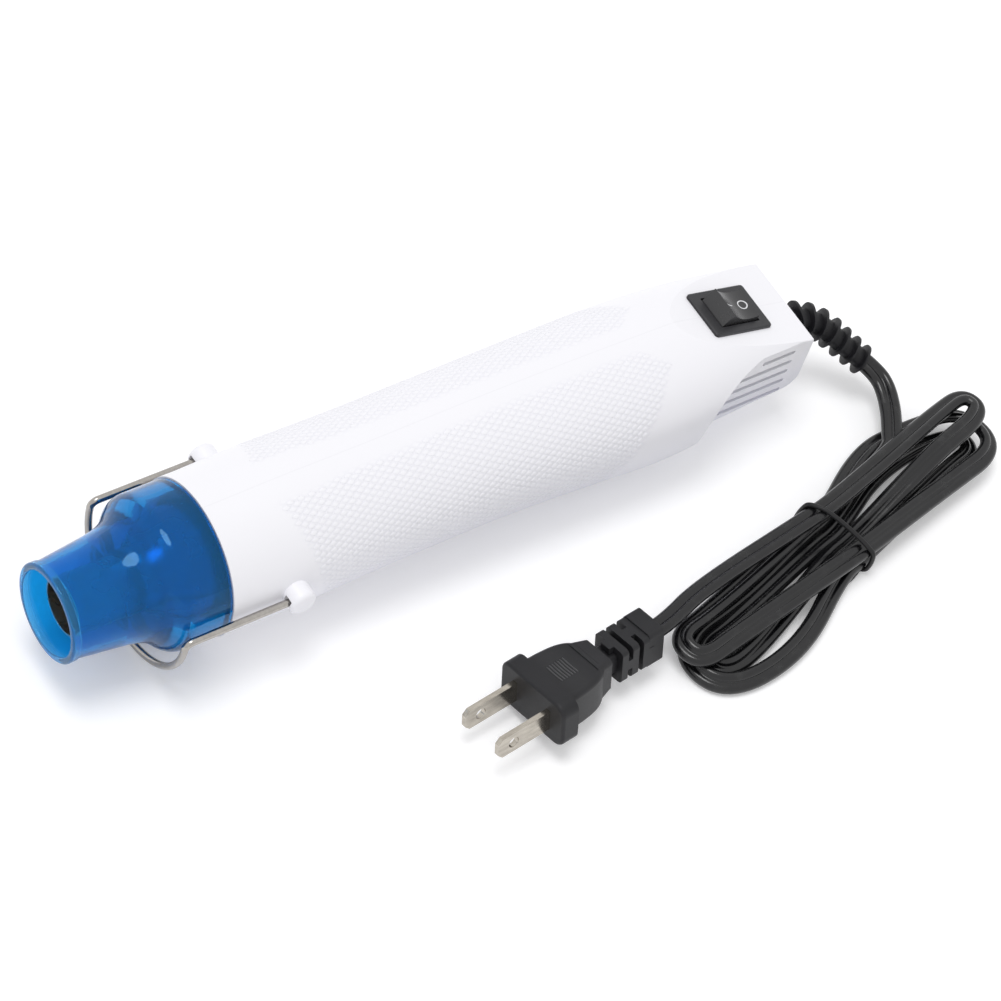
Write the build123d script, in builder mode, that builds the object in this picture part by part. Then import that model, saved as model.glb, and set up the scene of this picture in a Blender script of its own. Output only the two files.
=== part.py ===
from build123d import *
import os
from math import cos, pi, radians, sin, sqrt, tan

os.makedirs("parts", exist_ok=True)

# Frame: +X runs from the nozzle's mouth to the tail, +Z is up with the switch on top, the near side is -Y.
# The origin is on the table, under the middle of the tool.

# Overall sizes
tool_length = 226.5          # nozzle mouth to the housing's end face
axis_height = 24.4           # barrel axis above the table, set by the folded stand and the belly
cut_over = 40.0              # how far a cutting shape runs past what it cuts
fit_gap = 0.3                # clearance between seated pieces
running_gap = 0.05           # radial clearance of a turning pin or shaft

# Housing, moulded in two halves that meet on the middle plane
wall = 2.0
collar_start = 41.0          # distance from the mouth to the housing's front edge
front_radius = 21.25
grip_radius = 21.55
waist_radius = 21.0
belly_radius = 22.5
shoulder_radius = 21.7
neck_radius = 20.2
tail_radius = 16.9
waist_lift = 0.8             # the waist is hollowed from below, so its centre is higher
belly_drop = axis_height - belly_radius - 0.1 * wall
grip_start = 60.0
waist_start = 92.0
waist_middle = 122.0
waist_end = 150.0
belly_middle = 172.0
shoulder_place = 190.0
neck_place = 206.0
body_sections = [
    (collar_start, front_radius, 0),
    (grip_start, grip_radius, 0),
    (waist_start, waist_radius, waist_lift / 2),
    (waist_middle, waist_radius, waist_lift),
    (waist_end, grip_radius, 0),
    (belly_middle, belly_radius, -belly_drop),
    (shoulder_place, shoulder_radius, -belly_drop),
    (neck_place, neck_radius, -belly_drop),
    (tool_length, tail_radius, -belly_drop),
]
section_count = 12           # evenly spaced, so that the loft stays smooth

# Tail: a sloping deck for the switch, flat scooped sides with vents, a raised underside
switch_place = 205.5
deck_rise = 14.3             # deck above the axis at the switch
deck_slope = 16.5
tail_half_width = 14.0
tail_floor = 14.2            # underside below the axis, just behind the belly
tail_floor_end = 11.5
tail_corner = 5.0
floor_step_start = 181.0
floor_step_end = 196.0
scoop_draft = 38.0           # how far the scoop's flanks lean outwards, in degrees
scoop_front = 193.5
scoop_foot = 8.0             # its front edge is upright up to this far below the axis
scoop_top_place = 208.0
scoop_top = 10.2             # its highest point above the axis
scoop_end_top = 8.8
vent_pitch = 4.1
vent_width = 1.5
vent_top = 5.6               # highest vent above the axis
vent_starts = [210.0, 203.5, 200.5, 198.5, 200.0]
vent_end = 221.0
vent_depth = 3.0 * wall

# Stand: one bent steel wire that hangs in two ears
wire_radius = 1.0
loop_radius = axis_height - wire_radius
bail_place = 26.0            # the loop's distance from the mouth when folded
bail_bend = 2.0
bail_knee = 1.25             # bend at each pivot end
ear_place = 59.0
ear_rise = bail_bend
ear_radius = 3.8
ear_reach = 25.9             # outer face of an ear from the middle plane
ear_slot = 2.6
ear_round = 1.3
ear_slot_radius = 2.7
ear_slot_over = 26.0         # degrees that the slot opens past each end of the swing
stand_swing = 95.0
pivot_reach = 17.4           # how far in the bent wire ends sit

# Nozzle guard, one turned moulding
mouth_radius = 12.9
mouth_bore = 11.4
mouth_round = 0.7
bead_length = 2.2
bead_height = 0.45
cone_end = 15.5
cone_end_radius = 14.4
flare_middle = 24.0
flare_middle_radius = 17.0
flare_end = 30.5
flange_radius = 20.9
guard_wall = 2.0
spigot_length = 6.0
spigot_radius = front_radius - wall - fit_gap
spigot_bore = 17.0

# Steel tube and heater
tube_start = 4.8
tube_radius = 8.0
tube_wall = 0.5
tube_neck_end = 24.0
heater_start = 34.0
heater_radius = 14.5
heater_end = 90.0
heater_flange = 18.0
heater_flange_thick = 1.0
liner_wall = 0.5
liner_start = 40.0
card_thick = 1.0
card_start = 44.0
card_end = 92.0
card_foot = 3.0              # length of the wide ends that stand in the liner
coil_wire = 0.5
coil_turns = 7
coil_corner = 1.2            # bend of the wire over a card's edge
coil_radius = 9.0
coil_start = 48.0
coil_end = 80.0
cutout_length = 9.0
cutout_width = 4.0
cutout_height = 2.4

# Fan and motor
fan_start = 103.0
fan_hub_radius = 4.5
fan_hub_length = 9.0
fan_tip_radius = 16.6
fan_blades = 7
blade_thick = 1.2
blade_chord = 9.5
blade_angle = 38.0
shaft_radius = 1.0
bracket_place = 118.0
bracket_thick = 2.4
bracket_radius = waist_radius - wall - waist_lift - fit_gap
bracket_cup_depth = 6.0
bracket_windows = 4
window_span = 52.0           # degrees
housing_rib = 1.3
rib_grip = 1.5               # how far the ribs reach over what they hold
motor_radius = 12.1
motor_length = 27.0
motor_nose_radius = 3.1
motor_nose_length = 1.6
cap_length = 4.0
cap_radius = 11.4

# Circuit board and what stands on it
board_start = 159.0
board_length = 26.0
board_half_width = 16.6
board_thick = 1.6
board_drop = 9.0             # board's top below the axis
capacitor_radius = 4.0
capacitor_height = 8.0
diode_radius = 1.4
diode_length = 5.0
diode_count = 4
diode_pitch = 4.2
ledge_thick = 1.5

# Switch
bezel_length = 21.0
bezel_width = 15.0
bezel_thick = 1.0
switch_length = 19.0
switch_width = 12.8
switch_depth = 11.0
rocker_length = 13.7         # across its feet
rocker_top_length = 10.8
rocker_width = 9.6
rocker_gap = 0.4             # play round the rocker in its well
rocker_pivot_drop = 1.0      # pivot below the deck
rocker_end_height = 4.8      # rocker's ends above its pivot
rocker_dip = 1.5             # how much lower its middle is
rocker_foot = 2.6
pin_reach = 1.0              # how far the pin goes into the switch body
rocker_tilt = 12.0
rocker_pin_radius = 0.9
well_depth = 6.0
tab_width = 4.8
tab_thick = 0.8
tab_length = 6.3

# Screws
screw_radius = 1.1
screw_head_radius = 1.8
screw_head_height = 1.4
screw_length = 11.0
screw_seat = 6.5             # head's seat from the middle plane
boss_radius = 2.7
screw_places = [(54.0, -17.5), (97.0, -14.0), (155.0, -15.6), (188.0, 4.0), (191.0, -8.4)]

# Wires inside the housing
lead_radius = 0.7
lead_bend = 2.5
lead_clear = 0.5             # space kept from the fan's tips
lead_straight = 5.0          # straight wire before a bend
lead_hook = 3.2              # straight wire at a terminal
lead_narrow = 1.2            # a pair's wires each side of the middle
lead_middle = 3.4
lead_wide = 4.6
lead_swing = 6.0
lead_turn = 1.2              # where a wire bends before and after the fan
lead_window_turn = 2.5       # and before the bracket
lead_landing = 3.0           # from the board's edge to where a wire lands
lead_high = 4.9              # motor's wires below the axis
lead_run = 2.4               # switch's wires below the axis
tab_hold = 1.6               # where a wire meets a terminal, from the terminal's end

# Mains cord: flat twin flex, drawn here as a plain round tube
cord_size = 4.4
cord_fall_x = 140.0          # where it has come down, on its way to the hank
cord_fall_y = -22.5
cord_fall_height = 8.0
relief_drop = 2.0            # strain relief below the axis
relief_straight = 10.5       # how far it runs straight out
relief_reach = 23.5          # its end behind the housing
relief_side = 15.0           # its end to the near side
relief_fall = 11.0           # its end below its root
relief_bend = 17.0
relief_neck_width = 8.0
relief_neck_height = 6.0
relief_flange = 1.3          # flanges proud of the neck
relief_flange_thick = 1.5
relief_tip_width = 6.8
relief_tip_height = 4.6
relief_rib_proud = 1.2
relief_ribs = 8
relief_rib_thick = 1.1
relief_first_rib = 2.6
relief_last_rib = 30.8
relief_sections = 6

# Hank: the cord folded to and fro, drawn in at a tie
cord_gap = 0.5               # least space between its runs
layer_step = cord_size + cord_gap
hank_centre_x = 96.75
hank_centre_y = -58.0
hank_turn = 10.8             # degrees
tie_thick = 0.8
tie_width = 1.8
tie_gap = 0.3
tie_place = 1.5
waist_length = 9.0
rest_lift = 0.2
arc_share = 0.45
join_along = 39.5            # where the free stretch becomes the hank
join_across = 14.7
join_before = 5.5
join_after = 4.3
waist_lane_shares = [1.5, -1.5, 1.5, -1.5, 0.5, -0.5, 1.3]
waist_layers = [1, 1, 0, 0, 0, 0, 2]
# Each fold: reach from the middle, across where a run arrives, across where the next leaves, layer
hank_folds = [
    (58.0, 4.5, -7.0, 1),
    (62.0, -9.0, 12.0, 1),
    (57.0, 4.2, -18.0, 0),
    (51.0, -6.0, 9.0, 0),
    (47.5, -1.0, -12.6, 0),
    (63.5, 0.2, 11.4, 2),
]
# Points where a run swings wide before or after the waist: along, across, layer
run_shoulders = {
    (2, "before"): [(47.0, 15.0, 0), (31.0, 17.0, 0)],
    (3, "before"): [(-30.0, -18.5, 0)],
    (4, "before"): [(30.0, 10.2, 0)],
    (5, "after"): [(40.0, 1.5, 2)],
    (6, "after"): [(-45.0, 8.5, 2)],
}

# Mains plug, two flat blades
plug_x = -8.75
plug_y = -68.1
plug_z = 10.4
plug_yaw = 6.5               # degrees
plug_pitch = -1.2
plug_roll = -14.6
plug_plate_width = 24.1
plug_plate_height = 14.2
plug_plate_thick = 5.2
plug_corner = 3.4
plug_front_round = 0.9
plug_grip_width = 18.6
plug_grip_height = 12.4
plug_grip_round = 1.6
plug_hip_place = 11.0        # the grip's sides are still nearly full here
plug_hip_width = 18.0
plug_shoulder_place = 18.6   # a raised step across the grip
plug_shoulder_width = 12.6
plug_shoulder_step = 0.5
plug_neck_start = 22.4
plug_neck_width = 10.6
plug_neck_height = 10.8
plug_neck_corner = 1.3
plug_core_width = 6.6        # inside the neck's slots
plug_core_height = 6.2
plug_bridge = 3.2            # web left between two slots
plug_slots = 4
plug_slot_width = 1.5
plug_block_start = 35.4
plug_block_width = 10.4
plug_block_height = 11.6
plug_length = 40.3
plug_lead = 6.0              # straight cord before the plug
blade_spacing = 12.7
blade_length = 17.0
blade_height = 6.35
blade_thick_flat = 1.5
blade_hole = 3.2
blade_hole_place = 12.0
blade_tip_corner = 1.4

mouth_x = -tool_length / 2
tail_x = tool_length / 2


def at(distance):
    """Turns a distance from the nozzle's mouth into a place along X."""
    return mouth_x + distance


def body_at(distance):
    """Radius and lift of the housing's round form at a distance from the mouth."""
    for near, far in zip(body_sections, body_sections[1:]):
        if distance <= far[0]:
            share = (distance - near[0]) / (far[0] - near[0])
            return near[1] + share * (far[1] - near[1]), near[2] + share * (far[2] - near[2])
    return tail_radius, -belly_drop


def axis_plane(distance):
    """Plane square to the barrel, centred on its axis, facing the tail."""
    return Plane((at(distance), 0, axis_height), x_dir=(0, 1, 0), z_dir=(1, 0, 0))


deck_plane = Plane(
    (at(switch_place), 0, axis_height + deck_rise),
    x_dir=(cos(radians(deck_slope)), 0, -sin(radians(deck_slope))),
    z_dir=(sin(radians(deck_slope)), 0, cos(radians(deck_slope))),
)


def side_scoop(inset):
    """The hollow that flattens one side of the tail; it widens outwards."""
    front = at(scoop_front - inset)
    foot = (front, axis_height - scoop_foot)
    crest = (at(scoop_top_place), axis_height + scoop_top + inset)
    back_top = (tail_x, axis_height + scoop_end_top + inset)
    out_top = (tail_x + cut_over, axis_height + scoop_end_top + inset)
    out_low = (tail_x + cut_over, axis_height - cut_over)
    front_low = (front, axis_height - cut_over)
    with BuildPart() as scoop:
        with BuildSketch(Plane.XZ.offset(tail_half_width - inset)):
            with BuildLine():
                TangentArc(foot, crest, tangent=(0, 1))
                Polyline(crest, back_top, out_top, out_low, front_low, foot)
            make_face()
        extrude(amount=tail_half_width, taper=-scoop_draft)
    return scoop.part


def underside(inset):
    """What the raised underside of the tail leaves out, with its rounded rear corner."""
    step_start = (at(floor_step_start), axis_height - belly_radius - belly_drop + inset)
    step_end = (at(floor_step_end), axis_height - tail_floor + inset)
    floor_end = (tail_x - tail_corner, axis_height - tail_floor_end + inset)
    corner_end = (tail_x - inset, axis_height - tail_floor_end + tail_corner)
    with BuildPart() as under:
        with BuildSketch(Plane.XZ):
            with BuildLine():
                TangentArc(step_end, step_start, tangent=(floor_step_start - floor_step_end, 0))
                Line(step_end, floor_end)
                RadiusArc(floor_end, corner_end, -tail_corner)
                Polyline(
                    corner_end,
                    (tail_x + cut_over, axis_height - tail_floor_end + tail_corner),
                    (tail_x + cut_over, axis_height - cut_over),
                    (at(floor_step_start), axis_height - cut_over),
                    step_start,
                )
            make_face()
        extrude(amount=cut_over, both=True)
    return under.part


def housing_form(inset):
    """The housing's outside form, or its cavity where it is set in by the wall."""
    last = tool_length - inset
    scoop = side_scoop(inset)
    under = underside(inset)
    with BuildPart() as form:
        for number in range(section_count):
            distance = collar_start + (last - collar_start) * number / (section_count - 1)
            radius, lift = body_at(distance)
            with BuildSketch(axis_plane(distance)):
                with Locations((0, lift)):
                    Circle(radius - inset)
        loft()
        with BuildSketch(deck_plane.offset(-inset)):
            Rectangle(2 * cut_over, 2 * cut_over)
        extrude(amount=cut_over, mode=Mode.SUBTRACT)
        add(scoop, mode=Mode.SUBTRACT)
        add(scoop.mirror(Plane.XZ), mode=Mode.SUBTRACT)
        add(under, mode=Mode.SUBTRACT)
    return form.part


def ring_rib(distance, bore):
    """A rib inside the housing, from its wall in to a bore round the axis."""
    radius, lift = body_at(distance)
    with BuildPart() as rib:
        with BuildSketch(axis_plane(distance)):
            with Locations((0, lift)):
                Circle(radius - wall / 2)
            Circle(bore, mode=Mode.SUBTRACT)
        extrude(amount=housing_rib)
    return rib.part


# Where the ribs stand: one pair holds the heater's flange, one pair holds the motor's bracket
heater_rib_bore = heater_flange - rib_grip
bracket_rib_bore = bracket_radius - rib_grip
rib_places = [
    (heater_end - fit_gap - housing_rib, heater_rib_bore),
    (heater_end + heater_flange_thick + fit_gap, heater_rib_bore),
    (bracket_place - fit_gap - housing_rib, bracket_rib_bore),
    (bracket_place + bracket_thick + fit_gap, bracket_rib_bore),
]

outside = housing_form(0)
cavity = housing_form(wall)
ear_outline_y = axis_height + ear_rise

# Ears: a stub on each side, slotted for the stand's wire, with a hole for its end
with BuildPart() as ears:
    with BuildSketch(Plane.XZ.offset(ear_reach)):
        with Locations((at(ear_place), ear_outline_y)):
            Circle(ear_radius)
    extrude(amount=-(ear_reach - grip_radius + wall))
    fillet(ears.edges().group_by(Axis.Y)[0], ear_round)
    with BuildSketch(Plane.XZ.offset(loop_radius + ear_slot / 2)):
        with Locations((at(ear_place), ear_outline_y)):
            Circle(ear_slot_radius)
        with BuildLine():
            swing_start = (180 - ear_slot_over, 180 + stand_swing + ear_slot_over)
            out_reach = 2 * ear_radius
            first = (
                at(ear_place) + out_reach * cos(radians(swing_start[0])),
                ear_outline_y + out_reach * sin(radians(swing_start[0])),
            )
            second = (
                at(ear_place) + out_reach * cos(radians(swing_start[1])),
                ear_outline_y + out_reach * sin(radians(swing_start[1])),
            )
            corner = (at(ear_place) - out_reach, ear_outline_y - out_reach)
            Polyline((at(ear_place), ear_outline_y), first, corner, second, (at(ear_place), ear_outline_y))
        make_face()
    extrude(amount=-ear_slot, mode=Mode.SUBTRACT)

# Slots for the cooling air, the same on both sides of the tail
with BuildPart() as vents:
    for number, start in enumerate(vent_starts):
        height = axis_height + vent_top - number * vent_pitch
        with BuildSketch(Plane.XZ.offset(tail_half_width + wall)):
            with Locations((at((start + vent_end) / 2), height)):
                SlotOverall(vent_end - start, vent_width)
        extrude(amount=-vent_depth)

relief_plane = axis_plane(tool_length)
relief_centre = (0, -relief_drop)

# Housing, whole, before it is split
with BuildPart() as housing:
    add(outside)
    add(cavity, mode=Mode.SUBTRACT)
    for rib_place, rib_bore in rib_places:
        add(ring_rib(rib_place, rib_bore))
    for place, height in screw_places:
        with BuildSketch(Plane.XZ.offset(-grip_radius)):
            with Locations((at(place), axis_height + height)):
                Circle(boss_radius)
        extrude(amount=2 * grip_radius)
    for side in (1, -1):
        with BuildSketch(Plane.XY.offset(axis_height - board_drop - board_thick)):
            with Locations((at(board_start + board_length / 2), side * board_half_width)):
                Rectangle(board_length, 2 * wall)
        extrude(amount=-ledge_thick)
    add(outside, mode=Mode.INTERSECT)
    add(ears.part)
    add(ears.part.mirror(Plane.XZ))
    add(vents.part, mode=Mode.SUBTRACT)
    add(vents.part.mirror(Plane.XZ), mode=Mode.SUBTRACT)
    with BuildSketch(Plane.XZ):
        with Locations((at(ear_place), ear_outline_y)):
            Circle(wire_radius + running_gap)
    extrude(amount=loop_radius, both=True, mode=Mode.SUBTRACT)
    with BuildSketch(deck_plane):
        Rectangle(switch_length + fit_gap, switch_width + fit_gap)
    extrude(amount=-switch_depth, mode=Mode.SUBTRACT)
    with BuildSketch(relief_plane):
        with Locations(relief_centre):
            SlotOverall(relief_neck_width + fit_gap, relief_neck_height + fit_gap)
    extrude(amount=-2 * wall, mode=Mode.SUBTRACT)
    for place, height in screw_places:
        with BuildSketch(Plane.XZ.offset(-screw_seat)):
            with Locations((at(place), axis_height + height)):
                Circle(screw_head_radius + fit_gap)
        extrude(amount=-cut_over, mode=Mode.SUBTRACT)
        with BuildSketch(Plane.XZ.offset(-screw_seat)):
            with Locations((at(place), axis_height + height)):
                Circle(screw_radius)
        extrude(amount=screw_length + fit_gap, mode=Mode.SUBTRACT)

for half_name, keep in (("housing_left", Keep.TOP), ("housing_right", Keep.BOTTOM)):
    with BuildPart() as half:
        add(housing.part)
        split(bisect_by=Plane.XZ, keep=keep)
    half.part.label = half_name
    export_step(half.part, f"parts/{half_name}.step")

# Nozzle guard: a turned moulding, cone, flare and straight flange, with a spigot inside the housing
flange_end = collar_start - fit_gap
with BuildPart() as nozzle_guard:
    with BuildSketch(Plane.XY):
        with BuildLine():
            Polyline(
                (cone_end, cone_end_radius),
                (bead_length, mouth_radius),
                (bead_length, mouth_radius + bead_height),
                (0, mouth_radius + bead_height),
                (0, mouth_bore),
                (bead_length, mouth_bore),
                (cone_end, cone_end_radius - guard_wall),
                (flare_middle, flare_middle_radius - guard_wall),
                (flare_end, spigot_bore),
                (collar_start + spigot_length, spigot_bore),
                (collar_start + spigot_length, spigot_radius),
                (flange_end, spigot_radius),
                (flange_end, flange_radius),
                (flare_end, flange_radius),
            )
            Spline(
                (cone_end, cone_end_radius),
                (flare_middle, flare_middle_radius),
                (flare_end, flange_radius),
                tangents=[(cone_end - bead_length, cone_end_radius - mouth_radius), (flare_end, 0)],
            )
        make_face()
    revolve(axis=Axis.X)
    fillet(nozzle_guard.edges().filter_by(GeomType.CIRCLE).group_by(Axis.X)[0], mouth_round)
nozzle_guard.part = nozzle_guard.part.moved(Location((mouth_x, 0, axis_height)))
nozzle_guard.part.label = "nozzle_guard"
export_step(nozzle_guard.part, "parts/nozzle_guard.step")

# Steel tube, drawn out of one can: straight tube, shoulder, heater can and rear flange
with BuildPart() as hot_air_tube:
    with BuildSketch(Plane.XY):
        with BuildLine():
            Polyline(
                (tube_start, tube_radius),
                (tube_neck_end, tube_radius),
                (heater_start, heater_radius),
                (heater_end, heater_radius),
                (heater_end, heater_flange),
                (heater_end + heater_flange_thick, heater_flange),
                (heater_end + heater_flange_thick, heater_radius - tube_wall),
                (heater_start, heater_radius - tube_wall),
                (tube_neck_end, tube_radius - tube_wall),
                (tube_start, tube_radius - tube_wall),
                close=True,
            )
        make_face()
    revolve(axis=Axis.X)
hot_air_tube.part = hot_air_tube.part.moved(Location((mouth_x, 0, axis_height)))
hot_air_tube.part.label = "hot_air_tube"
export_step(hot_air_tube.part, "parts/hot_air_tube.step")

# Mica liner inside the can
liner_radius = heater_radius - tube_wall - fit_gap
with BuildPart() as mica_liner:
    with BuildSketch(axis_plane(liner_start)):
        Circle(liner_radius)
        Circle(liner_radius - liner_wall, mode=Mode.SUBTRACT)
    extrude(amount=heater_end - liner_start)
mica_liner.part.label = "mica_liner"
export_step(mica_liner.part, "parts/mica_liner.step")

# Mica card: two crossed plates, narrow where the wire winds round them
card_half = liner_radius - liner_wall - fit_gap / 2
card_waist = coil_radius - coil_corner * (sqrt(2) - 1) - coil_wire / 2 - fit_gap / 2
with BuildPart() as mica_card:
    for start, end, half in (
        (card_start, card_start + card_foot, card_half),
        (card_start, card_end, card_waist),
        (coil_end + card_foot / 2, card_end, card_half),
    ):
        with BuildSketch(axis_plane(start)):
            Rectangle(2 * half, card_thick)
            Rectangle(card_thick, 2 * half)
        extrude(amount=end - start)
mica_card.part.label = "mica_card"
export_step(mica_card.part, "parts/mica_card.step")

# Heating coil: one wire wound round the four edges of the crossed card
coil_step = (coil_end - coil_start) / (4 * coil_turns)
coil_points = []
for number in range(4 * coil_turns + 1):
    angle = pi / 2 * number
    coil_points.append(
        (
            at(coil_start + number * coil_step),
            coil_radius * cos(angle),
            axis_height + coil_radius * sin(angle),
        )
    )
with BuildPart() as heating_coil:
    with BuildLine() as coil_line:
        FilletPolyline(*coil_points, radius=coil_corner)
    with BuildSketch(Plane(coil_line.wire() @ 0, z_dir=coil_line.wire() % 0)):
        Circle(coil_wire / 2)
    sweep(path=coil_line.wire())
heating_coil.part.label = "heating_coil"
export_step(heating_coil.part, "parts/heating_coil.step")

# Thermal cutout, lying on the rear of the card
with BuildPart() as thermal_cutout:
    with BuildSketch(Plane.XY.offset(axis_height + card_thick / 2)):
        with Locations((at(card_end - cutout_length / 2), card_thick + cutout_width)):
            RectangleRounded(cutout_length, cutout_width, cutout_width / 4)
    extrude(amount=cutout_height)
thermal_cutout.part.label = "thermal_cutout"
export_step(thermal_cutout.part, "parts/thermal_cutout.step")

barrel_axis = Axis((0, 0, axis_height), (1, 0, 0))

# Fan: a hub with set blades, pressed on the motor's shaft
with BuildPart() as fan_blade:
    with BuildSketch(Plane.XY.offset(axis_height)):
        with Locations(Location((at(fan_start + fan_hub_length / 2), 0, 0), (0, 0, blade_angle))):
            Rectangle(blade_chord, blade_thick)
    extrude(amount=fan_tip_radius)
with BuildPart() as fan_impeller:
    with BuildSketch(axis_plane(fan_start)):
        Circle(fan_hub_radius)
    extrude(amount=fan_hub_length)
    for number in range(fan_blades):
        add(fan_blade.part.rotate(barrel_axis, 360 * number / fan_blades))
    with BuildSketch(axis_plane(fan_start)):
        Circle(shaft_radius)
    extrude(amount=fan_hub_length, mode=Mode.SUBTRACT)
fan_impeller.part.label = "fan_impeller"
export_step(fan_impeller.part, "parts/fan_impeller.step")

# Motor: can with a bearing nose, its shaft, and the end cap with the brushes
motor_start = bracket_place + bracket_thick
motor_end = motor_start + motor_length
with BuildPart() as motor:
    with BuildSketch(axis_plane(motor_start)):
        Circle(motor_radius)
    extrude(amount=motor_length)
    with BuildSketch(axis_plane(motor_start - motor_nose_length)):
        Circle(motor_nose_radius)
    extrude(amount=motor_nose_length)
    with BuildSketch(axis_plane(motor_start - motor_nose_length)):
        Circle(shaft_radius + running_gap)
    extrude(amount=motor_nose_length + motor_length, mode=Mode.SUBTRACT)
motor.part.label = "motor"
export_step(motor.part, "parts/motor.step")

shaft_front = fan_start + fan_hub_length / 4
shaft_end = motor_end + cap_length / 2
with BuildPart() as motor_shaft:
    with BuildSketch(axis_plane(shaft_front)):
        Circle(shaft_radius)
    extrude(amount=shaft_end - shaft_front)
motor_shaft.part.label = "motor_shaft"
export_step(motor_shaft.part, "parts/motor_shaft.step")

with BuildPart() as motor_end_cap:
    with BuildSketch(axis_plane(motor_end)):
        Circle(cap_radius)
    extrude(amount=cap_length)
    with BuildSketch(axis_plane(motor_end)):
        Circle(shaft_radius + running_gap)
    extrude(amount=cap_length / 2 + fit_gap, mode=Mode.SUBTRACT)
motor_end_cap.part.label = "motor_end_cap"
export_step(motor_end_cap.part, "parts/motor_end_cap.step")

# Bracket: a disc held between two ribs, with a cup for the motor and windows for the air
cup_bore = motor_radius + fit_gap
cup_radius = cup_bore + wall
with BuildPart() as motor_bracket:
    with BuildSketch(axis_plane(bracket_place)):
        Circle(bracket_radius)
        Circle(motor_nose_radius + fit_gap, mode=Mode.SUBTRACT)
    extrude(amount=bracket_thick)
    with BuildSketch(axis_plane(motor_start)):
        Circle(cup_radius)
        Circle(cup_bore, mode=Mode.SUBTRACT)
    extrude(amount=bracket_cup_depth)
    with BuildSketch(axis_plane(bracket_place)):
        for number in range(bracket_windows):
            window_start = 360 * number / bracket_windows - window_span / 2
            with BuildLine():
                CenterArc((0, 0), cup_radius, window_start, window_span)
                CenterArc((0, 0), bracket_rib_bore, window_start, window_span)
                for edge in (-1, 1):
                    angle = radians(360 * number / bracket_windows + edge * window_span / 2)
                    Line(
                        (cup_radius * cos(angle), cup_radius * sin(angle)),
                        (bracket_rib_bore * cos(angle), bracket_rib_bore * sin(angle)),
                    )
            make_face()
    extrude(amount=bracket_thick, mode=Mode.SUBTRACT)
motor_bracket.part.label = "motor_bracket"
export_step(motor_bracket.part, "parts/motor_bracket.step")

# Circuit board on the housing's ledges, with its capacitor and four diodes
board_top = axis_height - board_drop
board_middle = at(board_start + board_length / 2)
with BuildPart() as circuit_board:
    with BuildSketch(Plane.XY.offset(board_top - board_thick)):
        with Locations((board_middle, 0)):
            RectangleRounded(board_length, 2 * board_half_width, board_thick)
    extrude(amount=board_thick)
circuit_board.part.label = "circuit_board"
export_step(circuit_board.part, "parts/circuit_board.step")

with BuildPart() as capacitor:
    with BuildSketch(Plane.XY.offset(board_top)):
        with Locations((at(board_start) + 2 * capacitor_radius, board_half_width / 2)):
            Circle(capacitor_radius)
    extrude(amount=capacitor_height)
    fillet(capacitor.edges().group_by(Axis.Z)[-1], capacitor_radius / 8)
capacitor.part.label = "capacitor"
export_step(capacitor.part, "parts/capacitor.step")

with BuildPart() as rectifier_diodes:
    for number in range(diode_count):
        across = (number - (diode_count - 1) / 2) * diode_pitch - board_half_width / 3
        diode_plane = Plane(
            (board_middle, across, board_top + diode_radius), x_dir=(0, 1, 0), z_dir=(1, 0, 0)
        )
        with BuildSketch(diode_plane):
            Circle(diode_radius)
        extrude(amount=diode_length)
rectifier_diodes.part.label = "rectifier_diodes"
export_step(rectifier_diodes.part, "parts/rectifier_diodes.step")

# Switch: snap-in body with a bezel on the deck and a well for the rocker
pivot_plane = deck_plane.offset(-rocker_pivot_drop)
rocker_plane = pivot_plane.rotated((0, rocker_tilt, 0))
pin_axis_plane = Plane(pivot_plane.origin, x_dir=pivot_plane.x_dir, z_dir=(0, -1, 0))
rocker_profile_plane = Plane(rocker_plane.origin, x_dir=rocker_plane.x_dir, z_dir=(0, -1, 0))
well_length = rocker_length + 2 * rocker_gap
well_width = rocker_width + 2 * rocker_gap
with BuildPart() as switch_body:
    with BuildSketch(deck_plane):
        RectangleRounded(bezel_length, bezel_width, bezel_thick)
    extrude(amount=bezel_thick)
    chamfer(switch_body.edges().group_by(Axis.Z)[-1], bezel_thick / 3)
    with BuildSketch(deck_plane):
        Rectangle(switch_length, switch_width)
    extrude(amount=-switch_depth)
    with BuildSketch(deck_plane.offset(bezel_thick)):
        Rectangle(well_length, well_width)
    extrude(amount=-well_depth, mode=Mode.SUBTRACT)
    with BuildSketch(pin_axis_plane):
        Circle(rocker_pin_radius + running_gap)
    extrude(amount=rocker_width / 2 + rocker_gap + pin_reach + fit_gap, both=True, mode=Mode.SUBTRACT)
switch_body.part.label = "switch_body"
export_step(switch_body.part, "parts/switch_body.step")

with BuildPart() as switch_rocker:
    with BuildSketch(rocker_profile_plane):
        with BuildLine():
            top_left = (-rocker_top_length / 2, rocker_end_height)
            top_right = (rocker_top_length / 2, rocker_end_height)
            foot_left = (-rocker_length / 2, 0)
            foot_right = (rocker_length / 2, 0)
            ThreePointArc(top_left, (0, rocker_end_height - rocker_dip), top_right)
            Line(top_right, foot_right)
            ThreePointArc(foot_right, (0, -rocker_foot), foot_left)
            Line(foot_left, top_left)
        make_face()
    extrude(amount=rocker_width / 2, both=True)
    with BuildSketch(pin_axis_plane):
        Circle(rocker_pin_radius)
    extrude(amount=rocker_width / 2 + rocker_gap + pin_reach, both=True)
switch_rocker.part.label = "switch_rocker"
export_step(switch_rocker.part, "parts/switch_rocker.step")

with BuildPart() as switch_terminals:
    with BuildSketch(deck_plane.offset(-switch_depth)):
        with Locations((-switch_length / 4, 0), (switch_length / 4, 0)):
            Rectangle(tab_thick, tab_width)
    extrude(amount=-tab_length)
switch_terminals.part.label = "switch_terminals"
export_step(switch_terminals.part, "parts/switch_terminals.step")

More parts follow.
